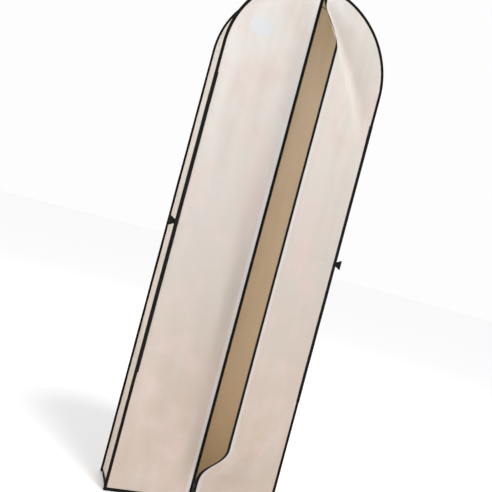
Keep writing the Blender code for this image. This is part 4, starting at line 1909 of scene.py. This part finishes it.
def merged(name: str, parts: Sequence[bpy.types.Object]) -> bpy.types.Object:
    """Join closed parts into one piece.

    Args:
        name: Name of the piece.
        parts: Closed parts.

    Returns:
        The joined piece.
    """
    whole = bmesh.new()
    for part in parts:
        whole.from_mesh(part.data)
        bpy.data.objects.remove(part)
    mesh = bpy.data.meshes.new(name)
    whole.to_mesh(mesh)
    whole.free()
    return plain_object(name, mesh)


@dataclass
class ZipFittings:
    """The slider that carries the halves together, its pull, and the stops of the zip."""

    finishes: Finishes
    wall: float = 1.0 * MILLIMETRE
    edge: float = 0.28 * MILLIMETRE
    bridge_wire: float = 0.9 * MILLIMETRE
    bridge_width: float = 2.0 * MILLIMETRE
    bridge_root: float = 0.3 * MILLIMETRE
    post_width: float = 1.6 * MILLIMETRE
    flange_thickness: float = 0.9 * MILLIMETRE
    flange_lean: float = 0.35 * MILLIMETRE
    clamp_overlap: float = 0.2 * MILLIMETRE
    pull_gap: float = 0.45 * MILLIMETRE
    back_narrower: float = 0.3 * MILLIMETRE

    def slider_outline(self, low: Vector, high: Vector, narrow: float) -> np.ndarray:
        """Outline of a slider plate: broad shoulders, waist, narrower tail.

        Args:
            low: Low corner of the slider.
            high: High corner of the slider.
            narrow: How much narrower each side is.

        Returns:
            Points by two.
        """
        half, tall, middle = (high.x - low.x) / 2, high.z - low.z, (high.z + low.z) / 2
        half -= narrow
        corners = [(-0.92, 0.5), (0.92, 0.5), (1.0, 0.22), (0.80, -0.12), (0.74, -0.5)]
        corners += [(-0.74, -0.5), (-0.80, -0.12), (-1.0, 0.22)]
        return round_outline([(x * half, middle + z * tall) for x, z in corners], 1.6 * MILLIMETRE)

    def build_slider(self) -> None:
        """Build the slider's two plates, side flanges, post and bridge."""
        low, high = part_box("zip_slider")
        front_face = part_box("zip_pull")[1].y + self.pull_gap
        back_face = high.y
        front = self.slider_outline(low, high, 0.0)
        back = self.slider_outline(low, high, self.back_narrower)
        parts = [
            plate("slider_front", [front], self.wall, self.edge, front_face + self.wall / 2),
            plate("slider_back", [back], self.wall, self.edge, back_face - self.wall / 2),
        ]
        middle, gap = (front_face + back_face) / 2, back_face - front_face
        half, tall, centre = (high.x - low.x) / 2, high.z - low.z, (high.z + low.z) / 2
        for side in (-1, 1):
            flange = [(0.74, -0.48), (0.92, 0.18), (0.80, 0.20), (0.62, -0.46)]
            corners = [(side * x * half, centre + z * tall) for x, z in flange]
            line = round_outline(corners, 0.3 * MILLIMETRE)
            for depth in (front_face + self.wall, back_face - self.wall):
                lean = self.flange_lean * math.copysign(1.0, middle - depth)
                name = f"flange_{side}_{depth:.5f}"
                parts.append(plate(name, [line], self.flange_thickness, 0.15 * MILLIMETRE, depth + lean))
        post = round_outline([(-0.5, 0.12), (0.5, 0.12), (0.35, 0.46), (-0.35, 0.46)], 0.4)
        post = post * [self.post_width, tall] + [0, centre]
        parts.append(plate("slider_post", [post], gap - self.wall, 0.1 * MILLIMETRE, middle))
        reach = 0.30 * tall
        turn = np.linspace(0, math.pi, 25)
        rise = (front_face - low.y - self.bridge_wire / 2) * np.minimum(1.0, 1.25 * np.sin(turn)) ** 0.8
        depth = front_face + self.bridge_root - rise
        path = np.stack([np.zeros_like(turn), depth, centre + reach * np.cos(turn)], axis=1)
        sideways = everywhere(path, (1.0, 0.0, 0.0))
        profile = rounded_profile(self.bridge_width, self.bridge_wire, 0.35 * MILLIMETRE)
        bridge = sweep("slider_bridge", path, sideways, np.cross(headings(path), sideways), profile)
        bridge.data.uv_layers.remove(bridge.data.uv_layers[0])
        slider = merged("zip_slider_body", [*parts, bridge])
        dress(round_off(slider, 35.0), self.finishes.enamel)
        report(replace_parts(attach(slider, "slider"), "zip_slider"))

    def build_pull(self) -> None:
        """Build the pull tab: a drop with an eye at the bridge and a grip hole."""
        low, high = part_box("zip_pull")
        half, top, bottom = (high.x - low.x) / 2, high.z, low.z
        thickness, depth = high.y - low.y, (high.y + low.y) / 2
        tall = top - bottom
        outer = [(-0.55, 1.0), (0.55, 1.0), (0.72, 0.84), (0.60, 0.70), (1.0, 0.20), (0.80, 0.0)]
        outer += [(-0.80, 0.0), (-1.0, 0.20), (-0.60, 0.70), (-0.72, 0.84)]
        eye = [(-0.36, 0.955), (0.36, 0.955), (0.36, 0.80), (-0.36, 0.80)]
        grip = [(-0.25, 0.56), (0.25, 0.56), (0.50, 0.14), (-0.50, 0.14)]
        outlines = [
            round_outline([(x * half, bottom + z * tall) for x, z in points], corner, 6)
            for points, corner in (
                (outer, 2.2 * MILLIMETRE),
                (eye, 0.8 * MILLIMETRE),
                (grip, 1.4 * MILLIMETRE),
            )
        ]
        pull = plate("zip_pull_tab", outlines, thickness, 0.3 * MILLIMETRE, depth)
        dress(round_off(pull, 35.0), self.finishes.enamel)
        report(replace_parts(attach(pull, "pull"), "zip_pull"))

    def build_stops(self) -> None:
        """Build the three stops, small clamps crimped over the coil's ends."""
        for node in ("zip_bottom_stop", "zip_top_stop_left", "zip_top_stop_right"):
            low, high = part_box(node)
            x, z = (low.x + high.x) / 2, (low.z + high.z) / 2
            half_x, half_z = (high.x - low.x) / 2 + self.clamp_overlap, (high.z - low.z) / 2
            corners = [(-half_x, -half_z), (half_x, -half_z), (half_x, half_z), (-half_x, half_z)]
            line = round_outline(corners, 0.7 * MILLIMETRE) + np.array([x, z])
            stop = plate(node + "_clamp", [line], high.y - low.y, 0.5 * MILLIMETRE, (low.y + high.y) / 2)
            dress(round_off(stop, 35.0), self.finishes.enamel)
            report(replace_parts(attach(stop, "bag"), node))

    def build(self) -> None:
        """Build every fitting."""
        self.build_slider()
        self.build_pull()
        self.build_stops()


@dataclass
class CareLabel:
    """A small blank ribbon caught in the bottom binding, curling off the cloth."""

    finishes: Finishes
    thickness: float = 0.35 * MILLIMETRE
    curl: float = 4.0 * MILLIMETRE
    ripple: float = 0.4 * MILLIMETRE
    ripple_length: float = 3.5 * MILLIMETRE
    stand_off: float = 0.6 * MILLIMETRE
    caught: float = 1.0 * MILLIMETRE

    def build(self) -> None:
        """Build the label."""
        low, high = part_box("care_label")
        across = np.linspace(low.x, high.x, 13)
        rise = np.linspace(low.z - self.caught, high.z, 20)
        u, v = np.meshgrid(across, rise, indexing="xy")
        share = (v - low.z) / (high.z - low.z)
        bend = self.curl * np.clip(share, 0, 1) ** 2 * (1 + 0.25 * (u - low.x) / (high.x - low.x))
        ripple = self.ripple * np.clip(share, 0, 1) * np.sin((u - low.x) / self.ripple_length)
        height = v - 0.25 * bend
        points = np.stack([u, low.y - self.stand_off - bend - ripple, height], axis=-1)
        label = grid_piece("care_label_ribbon", points, np.stack([v, u], axis=-1))
        label.data.materials.append(self.finishes.ribbon)
        thicken(label, self.thickness)
        round_off(label, 50.0)
        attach(label, "bag")
        report(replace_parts(label, "care_label"))


# ---------------------------------------------------------------------------------------------
# Camera, light and floor


@dataclass(frozen=True)
class Studio:
    """Soft daylight studio with a pale floor, seen from the front, turned to the left side."""

    yaw: float = math.radians(18.0)
    roll: float = math.radians(15.0)
    distance: float = 2.2
    lens: float = 46.1
    shift: tuple[float, float] = (-0.0258, -0.0047)
    window_towards: tuple[float, float, float] = (-0.20, 0.44, -0.86)
    window_strength: float = 1.26
    sky_strength: float = 0.68
    floor_radius: float = 40.0
    floor_turns: int = 96
    floor_gap: float = 1.0 * MILLIMETRE

    def set_camera(self) -> None:
        """Place the camera, rolled so that the bag leans to the right of the picture."""
        aim = Vector((0.0, BAG.front, BAG.middle))
        ahead = Vector((math.sin(self.yaw), math.cos(self.yaw), 0.0))
        right = Vector((math.cos(self.yaw), -math.sin(self.yaw), 0.0))
        up = Vector((0.0, 0.0, 1.0))
        x = up * math.sin(self.roll) + right * math.cos(self.roll)
        y = up * math.cos(self.roll) - right * math.sin(self.roll)
        data = bpy.data.cameras.new("camera")
        data.lens = self.lens
        data.sensor_width = 36.0
        data.shift_x, data.shift_y = self.shift
        data.clip_start, data.clip_end = 0.05, 60.0
        camera = plain_object("camera", data)
        turn = Matrix((x, y, -ahead)).transposed().to_4x4()
        camera.matrix_world = Matrix.Translation(aim - ahead * self.distance) @ turn
        bpy.context.scene.camera = camera

    def add_light(self, name: str, place: Sequence[float], size: float, power: float, tint: str) -> None:
        """Add a square area light aimed at the middle of the bag.

        Args:
            name: Name of the light.
            place: Where it stands.
            size: Length of its side.
            power: Watts.
            tint: Its colour.
        """
        data = bpy.data.lights.new(name, "AREA")
        data.shape = "SQUARE"
        data.size = size
        data.energy = power
        data.color = colour(tint)[:3]
        light = plain_object(name, data)
        light.location = place
        aim = Vector((0.0, 0.0, BAG.middle)) - Vector(place)
        light.rotation_euler = aim.to_track_quat("-Z", "Y").to_euler()

    def light(self) -> None:
        """Light from the upper right in front, with a soft fill and a pale sky."""
        self.add_light("key", place=(2.2, -4.2, 1.0), size=2.6, power=46.0, tint="#fffaf5")
        self.add_light("fill", place=(-3.6, -1.6, -0.4), size=2.4, power=95.0, tint="#fbfbff")
        self.add_light("rim", place=(1.2, 3.6, 1.6), size=2.4, power=22.0, tint="#ffffff")
        data = bpy.data.lights.new("window", "SUN")
        data.energy, data.angle = self.window_strength, math.radians(16.0)
        window = plain_object("window", data)
        window.rotation_euler = Vector(self.window_towards).to_track_quat("-Z", "Y").to_euler()
        bpy.context.scene.view_settings.view_transform = "Standard"
        world = bpy.data.worlds.new("pale_sky")
        world.use_nodes = True
        tree = world.node_tree
        sky = tree.nodes["Background"]
        sky.inputs["Color"].default_value = colour("#fdfdfd")
        seen = add_node(tree, "ShaderNodeLightPath", {}, {}).outputs["Is Camera Ray"]
        extra = maths(tree, "MULTIPLY", seen, 1.0 - self.sky_strength)
        tree.links.new(maths(tree, "ADD", extra, self.sky_strength), sky.inputs["Strength"])
        bpy.context.scene.world = world

    def build_floor(self) -> None:
        """Lay a pale floor that runs on to the pale sky."""
        radii = self.floor_radius * np.linspace(0.01, 1.0, 40) ** 2
        turn = np.linspace(0, 2 * math.pi, self.floor_turns, endpoint=False)
        r, a = np.meshgrid(radii, turn, indexing="ij")
        height = np.full_like(r, BAG.bottom - self.floor_gap)
        points = np.stack([r * np.cos(a), r * np.sin(a), height], axis=-1)
        floor = grid_piece("studio_floor", points, np.stack([r, a], axis=-1), wrap=True)
        with reworked(floor.data) as shape:
            rim = [edge for edge in shape.edges if edge.is_boundary and edge.calc_length() < 0.1]
            bmesh.ops.holes_fill(shape, edges=rim, sides=self.floor_turns)
        floor.data.shade_smooth()
        paint = SolidFinish("matt_studio_floor", "#f9f9f9", "#f6f6f6", 0.95, peel=0.02).make()
        floor.data.materials.append(paint)

    def build(self) -> None:
        """Set up the whole studio."""
        self.set_camera()
        self.light()
        self.build_floor()


def main() -> None:
    """Build the bag and its studio."""
    finishes = Finishes()
    for side in Side:
        FrontHalf(side, finishes).build()
        SideWebbing(side, finishes).build()
    BodyCloth(finishes).build()
    EdgeBindings(finishes).build()
    HangerOpening(finishes).build()
    ZipFittings(finishes).build()
    CareLabel(finishes).build()
    Studio().build()


if __name__ == "__main__":
    main()
